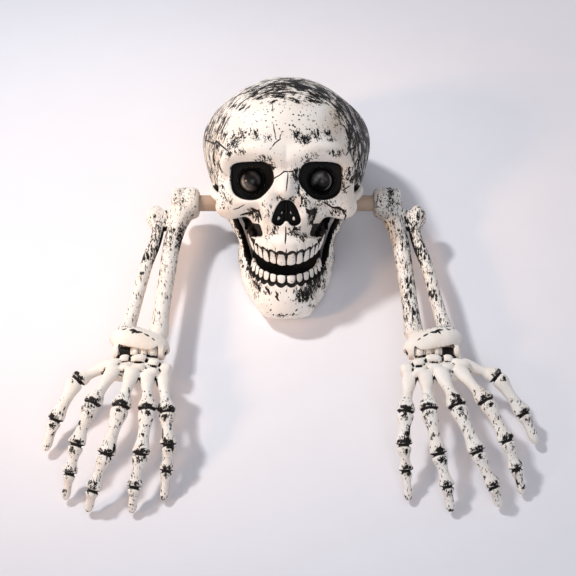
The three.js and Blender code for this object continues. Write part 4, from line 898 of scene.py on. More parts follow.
paintMap = {
    "front": (5, 24), "crackFront": (-30, -12), "crownFront": (-75, -40), "rear": (10, 40), "rearInk": 0.2,
    "temple": {"side": (47, 60), "up": (12, 24), "back": (-60, -48)}, "templeInk": 0.5, "rightInk": 0.25,
    # the flank and throat ranges mark where shade is painted black
    "flank": {"sideways": (0.4, 0.7), "down": (13, 20), "back": (-74, -66)},
    "throat": {"middle": (-42, -40.5), "back": (-27, -24), "down": (3, 5)},
    "whorl": (0, -16, 46), "streaks": (5.2, 25),  # the crown's streaks run out from the whorl
    "poolGrid": ((0, -10, -90), (70, 96, 60)),
    "poolGrow": {"socket": 0.6, "nose": 0.3, "scroll": 0.2, "scrollAhead": 1.5},
    "septumEdge": [(0, 70, -19, 2.2), (0, 72, -13, 1.2), (0, 73, -4, 0.5)],
    # lines over the face as (half width, (across, up) places), in millimetres of the skull's own frame
    "cracks": [
        (0.42, [(-11.2, 71.8), (-10.7, 66.4), (-9.6, 62.1), (-9.1, 57.8)]),
        (0.45, [(-3.7, 65.3), (-5.3, 61), (-5.9, 57.8), (-10.2, 54.5), (-13.4, 50.2), (-15, 48.6)]),
        (0.3, [(-12.6, 91), (-12, 86.5), (-11.6, 81.5)]),
        (0.8, [(43, 101.7), (47.5, 97), (52.5, 93.8), (57, 89), (59.3, 81), (60.3, 72), (59, 62), (55, 49)]),
        (0.7, [(76, 59), (73, 58.9), (68, 59.4), (64, 56), (61.8, 51.6), (56, 48.3), (53, 44)]),
        (0.7, [(-76, 59), (-72.5, 58), (-68.3, 56), (-65, 55.4), (-63.3, 57), (-58, 52.5), (-52, 48)]),
        (0.5, [(-16, 18.5), (-12.3, 22.2), (-9.1, 24.9), (-5.9, 26.6), (-1.6, 29.8), (4.8, 29.8), (10.2, 31.9)]),
        (0.5, [(1.6, 28.7), (1.1, 23.3), (0, 12.6)]),
        (0.6, [(-0.5, -18.7), (-0.3, -25), (-1, -33.7)]),
        (0.75, [(31.4, 3.4), (36, 1.1), (41.6, -2.3), (47.2, -2.3), (51.8, -5.7), (53.2, -10.2), (52, -14.4)]),
        (1.0, [(-40.8, -9.1), (-36.3, -7.9), (-31.8, -7.4), (-28.4, -4.5), (-24.8, -5.4), (-23.3, -9.1),
               (-22.1, -13)]),
        (1.7, [(17.9, -3.4), (20.2, -6.2), (23.5, -5.1), (26.9, -6.8)]),
        (1.0, [(26, -7), (24.7, -11.3), (22.4, -15.9), (26.4, -20.4)]),
        (0.45, [(50.4, 12.6), (54.1, 15.2), (57.4, 17.4)]),
        (0.4, [(-47.7, -4.1), (-42.3, -2.5), (-37, 0.7)]),
        (0.4, [(-56.2, 11.5), (-54.6, 7.2), (-52.5, 2.9)]),
        (0.4, [(-56.7, 93.7), (-50, 97.5), (-41.2, 100.9), (-33.5, 102.5), (-21.4, 103.1)]),
        (0.4, [(-28, 103.6), (-19.2, 107), (-11.5, 110.2)]),
    ],
    # the next four lists are soft spots: (across, up, half width, half height, strength)
    "smudges": [
        (-40, 62, 5, 6, 0.75), (-33, 65, 5, 4, 0.7), (-27, 62, 4, 5, 0.75), (-17, 59, 6, 4, 0.55),
        (9, 62, 4, 6, 0.8), (17, 58, 6, 5, 0.9), (26, 62, 6, 6, 0.85), (36, 64, 5, 5, 0.75), (40, 58, 4, 3, 0.7),
        (-46, 56, 5, 9, 0.85), (-51, 49, 4, 8, 0.8), (-40, 47, 6, 4, 0.6),
        (-21, 40, 9, 5, 0.72), (-13, 34, 5, 5, 0.7), (18, 41, 6, 5, 0.62), (25, 44, 5, 3, 0.55),
        (9, 27, 5, 8, 0.85), (12, 17, 3.5, 9, 0.8), (16, 6, 4, 10, 0.78), (44, 46, 8, 4, 0.7),
        (-30, -6, 5, 4, 0.9), (-26, -10, 4, 5, 0.85), (-17, -3, 5, 9, 0.5), (24, -6, 4, 5, 0.9),
        (22, -14, 4, 8, 0.75), (46, -6, 8, 4, 0.7), (-12, -22, 7, 6, 0.66), (-16, -29, 3, 4, 0.55),
        (8, -23, 6, 5, 0.88), (15, -28, 5, 5, 0.72), (-57, 15, 4, 9, 0.5), (-53, 3, 6, 7, 0.5),
        (51, 20, 4, 12, 0.7), (56, 28, 4, 9, 0.75), (34, 2, 14, 3.5, 0.6), (46, 76, 5, 14, 0.5),
    ],
    "specks": [(0, 76, 44, 13, 0.8), (12, 72, 26, 14, 1.0), (-8, 8, 14, 20, 0.5), (-58, 6, 10, 16, 0.8),
               (0, 40, 50, 40, 0.45), (40, 10, 30, 26, 0.6)],
    "crownInk": [(4, 108, 27, 8, 0.9), (30, 100, 17, 9, 0.92), (-20, 102, 24, 8, 0.68), (-46, 90, 14, 10, 0.36),
                 (52, 90, 10, 13, 0.85), (4, 95, 32, 5, 0.45)],
    # painted warm shade on the skull's sides, temples and crown
    "tans": [(46, 76, 12, 20, 0.9), (56, 50, 10, 22, 0.7), (-66, 60, 10, 30, 0.6), (10, 98, 60, 12, 0.35),
             (60, 10, 10, 20, 0.5), (-52, -8, 12, 10, 0.4), (24, -20, 10, 16, 0.5), (-20, -20, 8, 14, 0.3),
             (0, 45, 14, 8, 0.2), (30, 46, 16, 6, 0.4)],
    # painted shade: black in the recess under each cheekbone and in the mouth
    "pools": [{"place": (0.62, 0.42, -0.33), "radii": (0.25, 0.34, 0.2)},
              {"place": (0, 0.1, -0.5), "radii": (0.5, 0.26, 0.36)}],
}


def foldedPlaces(points):  # both halves' places in the half that a folded field knows
    return np.abs(points * [1, 0, 0]) + points * [0, 1, 1]


def skullMarks(points, normals, field):
    x, f, u = points.T
    facing = ramp(f, *paintMap["front"])
    side, near = lineMarks(x, u, paintMap["cracks"])
    top = patches(x, u, paintMap["crownInk"]) * ramp(f, *paintMap["crownFront"])
    temple = region(paintMap["temple"], side=np.abs(x), up=u, back=-f)
    temple = temple * (paintMap["templeInk"] + paintMap["rightInk"] * ramp(x, 0, 10))
    rear = ramp(-f, *paintMap["rear"]) * paintMap["rearInk"]
    away = points - np.array(paintMap["whorl"])
    around = np.arctan2(away[:, 0], away[:, 2])
    polar = np.arccos(np.clip(away[:, 1] / np.maximum(np.linalg.norm(away, axis=1), 1), -1, 1))
    wide, long = paintMap["streaks"]
    return {
        "hollow": field.hollows(points, normals, (1.6, 3.5, 7)),
        "smudge": patches(x, u, paintMap["smudges"]) * facing,
        "speck": patches(x, u, paintMap["specks"]) * facing + 0.3 * (1 - facing),
        "hatch": np.maximum(np.maximum(top, temple), rear),
        "crackSide": side,
        "crackNear": near + 20 * (1 - ramp(f, *paintMap["crackFront"])),
        # painted warm shade, strongest on the sides and the rear
        "tan": patches(x, u, paintMap["tans"]) * (0.4 + 0.6 * facing) + 0.25 * (1 - facing),
        "stroke": np.stack([wide * np.cos(around), wide * np.sin(around), long * polar], 1),
        "dab": np.stack([0.55 * x + 0.12 * u, 0.35 * f, 0.26 * u - 0.05 * x], 1),
    }


def facePool(points, normals, room):  # below 0 where black paint fills the sockets and nose, and where shade is painted black
    x, f, u = points.T
    pools = Field(*paintMap["poolGrid"], 1.0)
    grow = paintMap["poolGrow"]
    pools.join(socketForm(grow["socket"]), 0.1)
    pools.join(noseForm(grow["nose"]), 0.1)
    for scroll in scrolls(grow["scroll"], grow["scrollAhead"]):
        pools.carve(scroll, 0.1)
    pools.carve(sweep(paintMap["septumEdge"]), 0.1)
    for row in paintMap["pools"]:
        pools.join(skullBall(row), 0.1)
    folded = foldedPlaces(points)
    # painted shade: the inside of the hollow skull is painted black
    pool = np.minimum(pools.sample(folded), room.sample(folded) - skull["wall"] * 0.5)
    pool = np.minimum(pool, 4 + 8 * normals[:, 1] + 9 * ramp(u, -32, -24))  # painted shade: what turns away from the front is painted black
    # painted shade: the flanks under the cheeks and the throat wall are painted black
    flank = region(paintMap["flank"], sideways=np.abs(normals[:, 0]), down=-u, back=-f)
    throat = region(paintMap["throat"], middle=-np.abs(x), back=-f, down=-u)
    return np.minimum(pool, 3 - 6 * np.maximum(flank, throat))


def addFace():
    field, room = growFace()
    piece, points, normals = skinOf("skullFace", field, fromSkull)
    given = skullMarks(points, normals, field)
    given["pool"] = facePool(points, normals, room)
    run, out, up = alongBite(*points.T, upperShape)
    along, half, _ = toothCells(run)
    above, thick = face["gumShadow"]
    line = np.abs(up - gumLine(upperShape, along, half) - above) - thick
    roots = face["rootShadow"]
    root = half - np.abs(along) + roots["narrows"] * np.maximum(up - roots["from"], 0)
    root = np.maximum(root, roots["fades"] * (up - roots["to"])) - roots["half"]
    given["tooth"] = np.where((out > 1) & (np.abs(run) < bite["lastTooth"]), np.minimum(line, root), 9)
    setMarks(piece, points, given)
    return piece


# The crown: rear moulding with bosses for its screws

crown = {
    "step": 1.25, "grid": ((0, -94, -62), (83, 36, 126)),
    "boss": {"middle": 10.6, "outward": 1.5, "half": (5.2, 3.75, 6.7), "cover": 0.6},
}


def growCrown():
    field = Field(*crown["grid"], crown["step"], folded=True)
    growVault(field)
    room = hollowSkull(*crown["grid"], crown["step"])
    field.carve(ringPocket(), 0.5)
    outer = field.values.copy()
    carveSkull(field, room)
    boss = crown["boss"]
    for index in range(1, 5):
        lowest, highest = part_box("shell_screw_" + str(index))
        x = abs(lowest.x + highest.x) / 2 / millimetre
        y = (lowest.y + highest.y) / 2 / millimetre
        forward, rise = -(y + skull["setback"]), boss["middle"] - skull["tubeHeight"]
        f = forward * tiltCosine + rise * tiltSine
        u = rise * tiltCosine - forward * tiltSine
        window, values = turnedBox((x + boss["outward"], f, u), boss["half"])(field, 4)
        values = np.maximum(values, outer[window] + boss["cover"])
        field.values[window] = np.minimum(field.values[window], values)
    field.carve(seamForm(-skull["seamGap"] / 2), 0.4)
    return field.unfolded(), room


def turnedBox(place, half):  # a block square to the ground inside the tilted skull
    place = np.array(place, float)

    def form(field, margin):
        reach = 12 + margin
        window, (x, f, u) = field.window(place - reach, place + reach)
        x, f, u = x - place[0], f - place[1], u - place[2]
        forward, rise = f * tiltCosine - u * tiltSine, f * tiltSine + u * tiltCosine
        out = np.maximum(np.maximum(np.abs(x) - half[0], np.abs(forward) - half[1]), np.abs(rise) - half[2])
        return window, out.astype(np.float32)

    return form


def addCrown():
    field, room = growCrown()
    piece, points, normals = skinOf("skullCrown", field, fromSkull)
    given = skullMarks(points, normals, field)
    # painted shade: the crown's inside is painted black
    given["pool"] = room.sample(foldedPlaces(points)) - skull["wall"] * 0.5
    setMarks(piece, points, given)
    return piece


# The jaw

jaw = {
    "step": 0.8, "grid": ((0, -14, -112), (64, 94, 16)), "overGround": 1.2,
    "body": [(0, 0.73, -0.785, 0.1, 0.15), (0.21, 0.695, -0.78, 0.09, 0.145), (0.37, 0.55, -0.71, 0.08, 0.125),
             (0.47, 0.35, -0.6, 0.08, 0.11), (0.52, 0.17, -0.46, 0.07, 0.1)],
    "branch": [(0.52, 0.2, -0.5, 0.06, 0.1), (0.53, 0.15, -0.36, 0.055, 0.155), (0.61, 0.11, -0.2, 0.05, 0.14),
               (0.75, 0.06, -0.08, 0.045, 0.085)],
    "coronoid": [(0.6, 0.2, -0.22, 0.06), (0.69, 0.25, -0.06, 0.045), (0.75, 0.25, -0.01, 0.03)],
    "chin": [{"place": (0, 0.68, -0.8), "radii": (0.37, 0.26, 0.155)},
             {"place": (0, 0.85, -0.87), "radii": (0.16, 0.06, 0.06)},
             {"place": (0.2, 0.76, -0.89), "radii": (0.09, 0.06, 0.04)}],
    "smudges": [
        (-26, -71, 6, 6, 0.72), (-33, -62, 4, 7, 0.6), (-17, -76, 4, 4, 0.6), (-7, -78, 3, 4, 0.5),
        (17, -79, 10, 7, 0.98), (26, -70, 8, 9, 1.0), (32, -59, 5, 9, 0.85), (11, -82, 6, 5, 0.8),
        (24, -90, 5, 4, 0.6), (34, -72, 3, 8, 0.6), (-28, -80, 4, 5, 0.5),
        (-4, -98, 6, 2, 0.7), (6, -97, 4, 2, 0.6), (-41, -56, 3, 7, 0.5),
    ],
    "branchInside": {"up": (-66, -54), "side": (30, 34)}, "mouth": {"inward": (-1, 0.5), "up": (-76, -72)},
    "chinFront": (84, 92), "gumShadow": (0.6, 1.1),
    "slashes": [
        (0.9, [(-29, -68), (-27, -72)]), (1.0, [(-25, -71), (-23.5, -77)]), (0.6, [(-33.5, -60), (-31.5, -65)]),
        (1.0, [(-18.5, -72.5), (-16, -75.5), (-14.8, -78.5)]),
        (0.8, [(-9.3, -76), (-7.8, -78.5), (-8.7, -81), (-6.5, -84)]), (0.4, [(0.3, -74), (-0.3, -76.5)]),
        (0.5, [(7, -74.5), (6.3, -77.5)]), (0.6, [(-14.3, -93.5), (-13.5, -92)]), (0.5, [(8, -93.5), (10, -91.5)]),
        (0.6, [(-12, -97.5), (-11, -96.8)]), (0.6, [(-7.5, -97), (-5.5, -96.3)]), (0.5, [(-1, -97), (1.5, -96.2)]),
        (0.5, [(5, -97.6), (6.5, -97)]),
    ],
}


def growJaw():
    field = Field(*jaw["grid"], jaw["step"], folded=True)
    wide, deep, tall = scale

    def bar(rows, second, flat):  # rows of shares: x, f, u, half across and half along flat
        stations = [(x * wide, f * deep, u * tall, a * wide, b * second) for x, f, u, a, b in rows]
        return sweep(curved(stations, 4), flat=flat)

    x, *others = jaw["body"][1]
    field.join(bar([(-x, *others)] + jaw["body"], tall, (0, 0, 1)), 1)
    field.join(bar(jaw["branch"], deep, (0, 1, 0)), 4)
    field.join(skullChain(jaw["coronoid"]), 3)
    for row in jaw["chin"]:
        field.join(skullBall(row), 5)
    field.join(gumForm(lowerShape), 5)
    inner = jawRing["inner"]
    field.join(rod((0, 0, 0), 0, inner, inner + jawRing["width"], jawRing["radius"], 1), 1.5)
    field.carve(tubeHole(), crisp)
    field.carve(groundForm(jaw["overGround"]), 0.5)
    return field.unfolded()


def addJaw():
    field = growJaw()
    piece, points, normals = skinOf("jawBone", field, fromSkull)
    x, f, u = points.T
    inward = np.maximum(-np.sign(x) * normals[:, 0] * ramp(np.abs(x), 4, 12), -normals[:, 1])
    inward = inward + 0.55 * region(jaw["branchInside"], up=u, side=np.abs(x))
    run, out, up = alongBite(x, f, u, lowerShape)
    along, half, _ = toothCells(run)
    above, thick = jaw["gumShadow"]
    line = np.abs(up - gumLine(lowerShape, along, half) - above) - thick
    side, near = lineMarks(x, u, jaw["slashes"])
    mouth = region(jaw["mouth"], inward=-out, up=u)
    setMarks(piece, points, {
        "crackSide": side, "crackNear": near + 20 * ramp(-normals[:, 1], -0.3, 0),
        "hollow": field.hollows(points, normals, (1.6, 3.5, 6)),
        "smudge": patches(x, u, jaw["smudges"]) * ramp(normals[:, 1], -0.2, 0.2),
        "hatch": 0.4 * ramp(np.abs(x), 38, 46),
        # painted shade: the jaw's inward faces and the mouth behind the bite are painted black
        "pool": np.minimum(2.2 - 6 * inward + 6 * ramp(-u, *jaw["chinFront"]), 3 - 6 * mouth),
        "tooth": np.where((out > 0.5) & (np.abs(run) < bite["lastTooth"]), line, 9),
        "speck": 0.5,
    })
    return piece


def addTeeth(name, shape):
    field = Field(*shape["grid"], tooth["step"])
    field.join(toothForm(shape), 0.1)
    piece, points, normals = skinOf(name, field, fromSkull)
    setMarks(piece, points, {
        "hollow": 0.6 * field.hollows(points, normals, (1.2, 2.5)),
        "tooth": toothMarks(points, shape),
        # painted shade: tooth faces turned away from the front are painted black
        "pool": 3 + 6 * normals[:, 1],
        "speck": 0.45,
    })
    return piece


# Forearms: barrel, two bones and the domed wrist end, for the side with X above 0

arm = {
    "step": 0.85, "grid": ((78, -236, 12), (153, -30, 52)), "elbowInner": 82, "elbowWidth": 25, "elbowRadius": 14.5,
    "reach": 174, "spread": 32, "wristHeight": 30, "wristWidth": 44, "earInner": 16.72, "ulnaRadius": 7.6,
    "radiusRadius": 5.7, "pin": 2, "barrel": 6.5, "screwHole": 1.6, "headRoom": 3.6, "slant": 5,
    "outside": 130, "wristHollow": {"place": (9, -3.5, -1), "radii": (9.5, 9, 7.5)},
    "swellings": [(0.3, 0, 8, 3), (0.78, -1, 6.5, 2)],  # of the elbow: (share of its width, shift, half width, blend)
    "betweenBones": (98, 30), "rimAlong": (0.885, 0.018), "stripAlong": (0.27, 0.12),
    "headAcross": (97, 3.5), "headAlong": (0, 0.09), "leftHead": 0.45,
    "blends": {"ulna": 4, "radius": 2, "bridge": 4, "web": 3},
    # bones as (outward, forward, lift, thickness) along the arm
    "ulna": [
        (-0.04, -0.02, 0, 1.5), (0.04, 0.06, 0, 1.35), (0.17, 0.15, 0.05, 1.15), (0.3, 0.28, 0.1, 1.05),
        (0.36, 0.42, 0.14, 1), (0.42, 0.6, 0.14, 0.95), (0.47, 0.76, 0.12, 0.95), (0.5, 0.88, 0.1, 1.1)],
    "radius": [
        (0.86, 0.07, 0, 1.2), (0.86, 0.11, 0, 1.4), (0.8, 0.15, 0, 1.15), (0.75, 0.21, 0, 0.95),
        (0.83, 0.31, 0.08, 0.98), (0.98, 0.43, 0.13, 1), (1.1, 0.57, 0.14, 1), (1.2, 0.7, 0.14, 1),
        (1.31, 0.82, 0.12, 1.1), (1.4, 0.9, 0.1, 1.4)],
    "bridge": [(0.1, 0.07, 0, 1.2), (0.5, 0.1, -0.05, 1.25), (0.86, 0.1, 0, 1.15)],
    "web": [(0.2, 0.13, -0.05, 0.9), (0.45, 0.16, -0.08, 0.85), (0.7, 0.15, -0.05, 0.9)],
    "elbowCrease": [(15, -13, 14.5, 1.6), (16, -2, 15.5, 1.7), (15.5, 8, 13, 1.5)],
    "dashes": {
        "Left": (0.14, [(0.33, 0.16, 0.6, "radius"), (0.3, 0.08, 0.25, "ulna")]),
        "Right": (0.3, [(0.75, 0.2, 0.3, "ulna"), (0.33, 0.18, 0.4, "radius"), (0.1, 0.08, 0.1, "both")])},
    "inked": {"back": (-0.93, -0.86), "high": (24, 34)},
    "cave": {"ahead": (218, 224), "near": (-12, -8), "low": (-35, -31)},
    "rim": {"out": (118, 130), "high": (34, 38)}, "strip": {"inner": (-105, -100), "sideways": (0.3, 0.7)},
    "hoodCracks": [
        (1.1, [(-3, 12.2), (1.5, 12), (4.5, 14.6), (8, 14.2)]), (0.9, [(3.5, 13.5), (5.5, 10.3)]),
        (0.8, [(-9, 8.4), (-5, 10.6)]), (0.7, [(11, 16), (14.5, 15.4)]), (0.5, [(-14, 5), (-11.5, 6.9)])],
    # the domed wrist end: (across, half depth, half height, lift)
    "end": [(-1, 0.4, 0.4, -0.1), (-0.84, 0.66, 0.52, 0.05), (-0.5, 0.82, 0.58, 0.2), (0, 0.86, 0.6, 0.3),
            (0.5, 0.88, 0.62, 0.28), (0.84, 0.72, 0.54, 0.12), (1, 0.42, 0.4, -0.05)],
}


def armPlace(out, forward, lift):
    x = arm["elbowInner"] + arm["elbowWidth"] / 2 + out * arm["spread"]
    t = min(max(forward, 0), 1)
    z = skull["tubeHeight"] * (1 - t) + arm["wristHeight"] * t + lift * arm["elbowRadius"]
    return x, -skull["setback"] - forward * arm["reach"], z


def armChain(rows, radius):
    return curved([(*armPlace(*r[:3]), r[3] * radius) for r in rows], 4)


wristPlace = armPlace(1, 1, 0)


def pinHole():
    return rod(wristPlace, 0, wristPlace[0] - 40, wristPlace[0] + 40, arm["pin"] + clearance)


def growForearm():
    field = Field(*arm["grid"], arm["step"])
    inner, wide, radius = arm["elbowInner"], arm["elbowWidth"], arm["elbowRadius"]
    middle, behind, level = wristPlace
    _, y, z = hub
    field.join(rod(hub, 0, inner, inner + wide, radius - 0.3, 4.2), 0.1)
    for share, ahead, across, blend in arm["swellings"]:
        field.join(ball((inner + share * wide, y + ahead, z), (across, radius, radius)), blend)
    for name, blend in arm["blends"].items():
        thick = arm["ulnaRadius"] if name == "ulna" else arm["radiusRadius"]
        field.join(sweep(armChain(arm[name], thick)), blend)
    rows = [(middle + a * arm["wristWidth"] / 2 * 0.93, behind + arm["barrel"] * 1.45 + a * arm["slant"],
             level + radius * lift, high * radius, deep * radius) for a, deep, high, lift in arm["end"]]
    field.join(sweep(curved(rows, 3), flat=(0, 1, 0)), 2)
    for way in (-1, 1):
        ends = sorted((middle + way * (arm["wristWidth"] / 2 - clearance), middle + way * arm["earInner"]))
        field.join(rod(wristPlace, 0, *ends, arm["barrel"], 0.8), 1.5)
    field.carve(sweep([(inner + a, y + b, z + c, r) for a, b, c, r in arm["elbowCrease"]]), 1.2)
    low, high = middle - arm["earInner"], middle + arm["earInner"]
    field.carve(rod(wristPlace, 0, low, high, arm["barrel"] + 1.05, 0.5), 0.8)
    hollow = arm["wristHollow"]
    field.carve(ball(np.add(wristPlace, hollow["place"]), hollow["radii"]), 1.2)
    field.carve(pinHole(), 0.2)
    seat, outside = tube["half"] + clearance, arm["outside"]
    field.carve(rod(hub, 0, 60, seat, tube["radius"] + clearance, 0.1), 0.2)
    field.carve(rod(hub, 0, 60, outside, arm["screwHole"], 0.1), 0.2)
    field.carve(rod(hub, 0, seat + 0.16 * radius, outside, arm["headRoom"], 0.1), 0.3)
    return field


def mirrorOf(side):
    return lambda points: points * [side * millimetre, millimetre, millimetre]


def bell(values, middle, width):
    return np.exp(-((values - middle) / width) ** 2)


def addForearms():
    field = growForearm()
    made = []
    for name, side in sides.items():
        piece, points, normals = skinOf("forearm" + name, field, mirrorOf(side))
        x, y, z = points.T
        along = -(y + skull["setback"]) / arm["reach"]
        start, drift = arm["betweenBones"]
        onUlna = ramp(-(x - (start + drift * along)), -4, 4)
        bones = {"ulna": onUlna, "radius": 1 - onUlna, "both": 1}
        spread, spots = arm["dashes"][name]
        dashes = spread + sum(ink * bell(along, place, long) * bones[bone] for place, long, ink, bone in spots)
        dashes *= region(arm["inked"], back=-along, high=z)
        aside = np.abs(x - wristPlace[0] - arm["wristHollow"]["place"][0])
        cave = region(arm["cave"], ahead=-y, near=-aside, low=-z)
        rim = bell(along, *arm["rimAlong"]) * region(arm["rim"], out=x, high=z)
        head = bell(x, *arm["headAcross"]) * bell(along, *arm["headAlong"])
        head = head * (1 if side > 0 else arm["leftHead"])
        strip = region(arm["strip"], inner=-x, sideways=-normals[:, 0]) * bell(along, *arm["stripAlong"])
        cracked, near = lineMarks(x - wristPlace[0], y - wristPlace[1], arm["hoodCracks"])
        facing = ramp(normals[:, 2], 0.1, 0.7)
        setMarks(piece, points, {
            "hollow": field.hollows(points, normals, (1.6, 3.2, 6)), "hatch": 0.75 * dashes, "speck": 0.22,
            "smudge": 0.5 * rim + 0.9 * head + 0.9 * strip * (side < 0),
            "crackSide": cracked, "crackNear": near + 20 * (1 - ramp(z, 32, 35)),
            # painted shade: black in the hollow under the wrist end, and warm shade on faces turned away from the top
            "pool": 3 - 6 * cave, "tan": 0.6 * (1 - facing) + 0.2,
            "stroke": np.stack([0.5 * x - 0.06 * y, 0.1 * y + 0.02 * side, 0.5 * z], 1),
        })
        made.append(piece)
    return made


# Hands: wrist barrel, carpals, and five fingers of separate-looking bones

hand = {
    "step": 0.7, "grid": ((86, -372, 0), (218, -212, 50)), "reach": 141, "high": 42, "knuckle": 6.2,
    "swell": 1.09, "carpalDrop": 1.6, "overGround": 0.4, "splay": {"Left": -3.5, "Right": 3.5},
    "fingers": [
        {"splay": 1, "size": 1, "joints": [
            (0.15, 0.08, 0.71), (0.37, 0.19, 0.67), (0.5, 0.42, 0.4), (0.553, 0.567, 0.17)]},
        {"splay": 1, "size": 1, "joints": [
            (0.12, 0.13, 0.86), (0.26, 0.43, 0.95), (0.35, 0.663, 0.71), (0.393, 0.794, 0.4), (0.42, 0.9, 0.12)]},
        {"splay": 0.9, "size": 1.05, "joints": [
            (0.014, 0.16, 0.9), (0.085, 0.47, 1), (0.17, 0.745, 0.76), (0.248, 0.915, 0.43), (0.28, 0.98, 0.12)]},
        {"splay": 0.6, "size": 1, "joints": [
            (-0.064, 0.17, 0.86), (-0.076, 0.48, 0.95), (-0.04, 0.742, 0.71), (0, 0.9, 0.4), (0.015, 1, 0.12)]},
        {"splay": 0, "size": 0.95, "joints": [
            (-0.152, 0.17, 0.79), (-0.2, 0.48, 0.86), (-0.215, 0.66, 0.62), (-0.204, 0.787, 0.36),
            (-0.192, 0.92, 0.12)]},
    ],
    "sizes": (1.05, 0.98, 0.86, 0.74),
    # bones as (place along, half width, half height) in finger sizes
    "metacarpal": [(0.16, 0.92, 0.66), (0.28, 0.86, 0.62), (0.44, 0.66, 0.58), (0.6, 0.6, 0.58), (0.72, 0.7, 0.64),
                   (0.84, 0.98, 0.8), (0.92, 1.06, 0.82), (0.98, 0.9, 0.7)],
    "phalanx": [(0.02, 0.88, 0.7), (0.07, 1.08, 0.82), (0.15, 1.04, 0.78), (0.32, 0.8, 0.67), (0.5, 0.72, 0.62),
                (0.68, 0.78, 0.66), (0.82, 0.96, 0.76), (0.9, 1.02, 0.8), (0.97, 0.86, 0.7)],
    "tip": [(0.02, 0.88, 0.7), (0.08, 1.04, 0.8), (0.25, 0.8, 0.68), (0.45, 0.68, 0.58), (0.65, 0.7, 0.56),
            (0.85, 0.72, 0.54), (0.97, 0.52, 0.42)],
    "groove": {"half": 0.9, "core": 0.78, "cup": 0.14}, "grooveBlend": 1.6,
    "knob": {"along": 0.93, "across": 0.62, "up": 0.12, "radius": 0.5},
    "tips": {"low": (-12, -4), "ahead": (335, 345), "inner": (-172, -166)},
    "headInk": {"back": 3.2, "long": 2.6}, "baseInk": {"ahead": 4.6, "long": 2.8, "wide": 0.6},
    # (forward, half width, height, half thickness)
    "palm": [(0.03, 0.11, 0.6, 0.03), (0.07, 0.14, 0.68, 0.045), (0.13, 0.18, 0.72, 0.052),
             (0.18, 0.175, 0.74, 0.045), (0.215, 0.155, 0.75, 0.032)],
    "knobs": [(-12.2, 4.1), (-4.6, 3.9), (2.6, 3.6)],
    # (outward, forward, height, three radii in millimetres, turn)
    "carpals": [
        (0.076, 0.085, 0.85, 4.8, 4.2, 6.0, 0.1), (-0.01, 0.09, 0.88, 7.4, 4.3, 6.0, 0.1),
        (-0.1, 0.118, 0.86, 5.6, 4.6, 6.0, -0.15), (0.15, 0.118, 0.84, 9.0, 4.4, 6.0, 0.3),
        (0.066, 0.157, 0.87, 5.6, 3.7, 6.0, 0.15), (-0.012, 0.165, 0.9, 6.8, 4.0, 6.2, 0.1),
        (-0.098, 0.19, 0.88, 6.0, 4.2, 6.2, -0.1), (-0.17, 0.155, 0.82, 5.8, 6.4, 6.0, -0.2)],
}


def handPlace(out, forward, height):
    x, y, _ = wristPlace
    return np.array([x + out * hand["reach"], y - forward * hand["reach"], height * hand["high"]])


def fingerJoints(row, turn):
    angle = row["splay"] * math.radians(turn)
    out, ahead = row["joints"][0][:2]
    places = []
    for o, f, h in row["joints"]:
        x, y = o - out, f - ahead
        places.append(handPlace(out + x * math.cos(angle) + y * math.sin(angle),
                                ahead + y * math.cos(angle) - x * math.sin(angle), h))
    return places


def growHand(turn):
    field = Field(*hand["grid"], hand["step"])
    barrel, half = arm["barrel"], arm["earInner"] - clearance
    middle, behind, level = wristPlace
    field.join(rod(wristPlace, 0, middle - half, middle + half, barrel - 1.9, 0.8), 0.1)
    for out, across in hand["knobs"]:
        field.join(ball((middle + out, behind, level), (across, barrel + 0.1, barrel + 0.1), power=2.3), 0.4)
    palm = [(*handPlace(0.0, f, h), w * hand["reach"], d * hand["reach"]) for f, w, h, d in hand["palm"]]
    window, plate = sweepWide(palm)(field, 6)
    field.values[window] = softLeast(field.values[window], plate, 1.5)
    for out, forward, height, *radii, turned in hand["carpals"]:
        place = handPlace(out, forward, height) - [0, 0, hand["carpalDrop"]]
        field.join(ball(place, radii, 2.6, -turned, (0, 1)), 0.5)
    joints, knob = [], hand["knob"]
    for row in hand["fingers"]:
        places = fingerJoints(row, turn)
        for index, (start, end) in enumerate(zip(places, places[1:])):
            size = hand["knuckle"] * hand["sizes"][index] * row["size"] * hand["swell"]
            last = index == len(places) - 2
            profile = hand["tip"] if last else hand["phalanx"] if index else hand["metacarpal"]
            run = end - start
            rows = [(*(start + t * run), a * size, h * size) for t, a, h in profile]
            field.join(sweep(curved(rows, 2), flat=(0, 0, 1)), 0.5 if index else 2.2)
            across = np.cross(run, (0, 0, 1))
            across /= np.linalg.norm(across)
            for way in () if last else (-1, 1):  # the two knobs of a bone's head
                place = start + knob["along"] * run + way * knob["across"] * size * across
                field.join(ball(place + [0, 0, knob["up"] * size], np.full(3, knob["radius"] * size)), 1.2)
            if index:
                before = (start - places[index - 1]) / np.linalg.norm(start - places[index - 1])
                along = before + run / np.linalg.norm(run)
                joints.append((start, size, along / np.linalg.norm(along)))
    for joint in joints:
        field.carve(jointGroove(*joint), hand["grooveBlend"])
    wide = barrel + clearance
    for way in (-1, 1):  # room for the forearm's ears, then for its domed end
        edge = middle + way * half
        ends = sorted((edge, edge + way * 44))
        field.carve(box((ends[0], behind - wide, -5), (ends[1], behind + wide, 60)), 0.4)
    field.carve(box((60, behind + wide + 0.2, -5), (240, behind + 40, 70)), 0.3)
    field.carve(pinHole(), 0.2)
    heights = np.broadcast_to(field.low[2] + field.step * np.arange(field.size[2]), field.size)
    field.values = softMost(field.values, hand["overGround"] - heights, 0.4)
    return field, joints


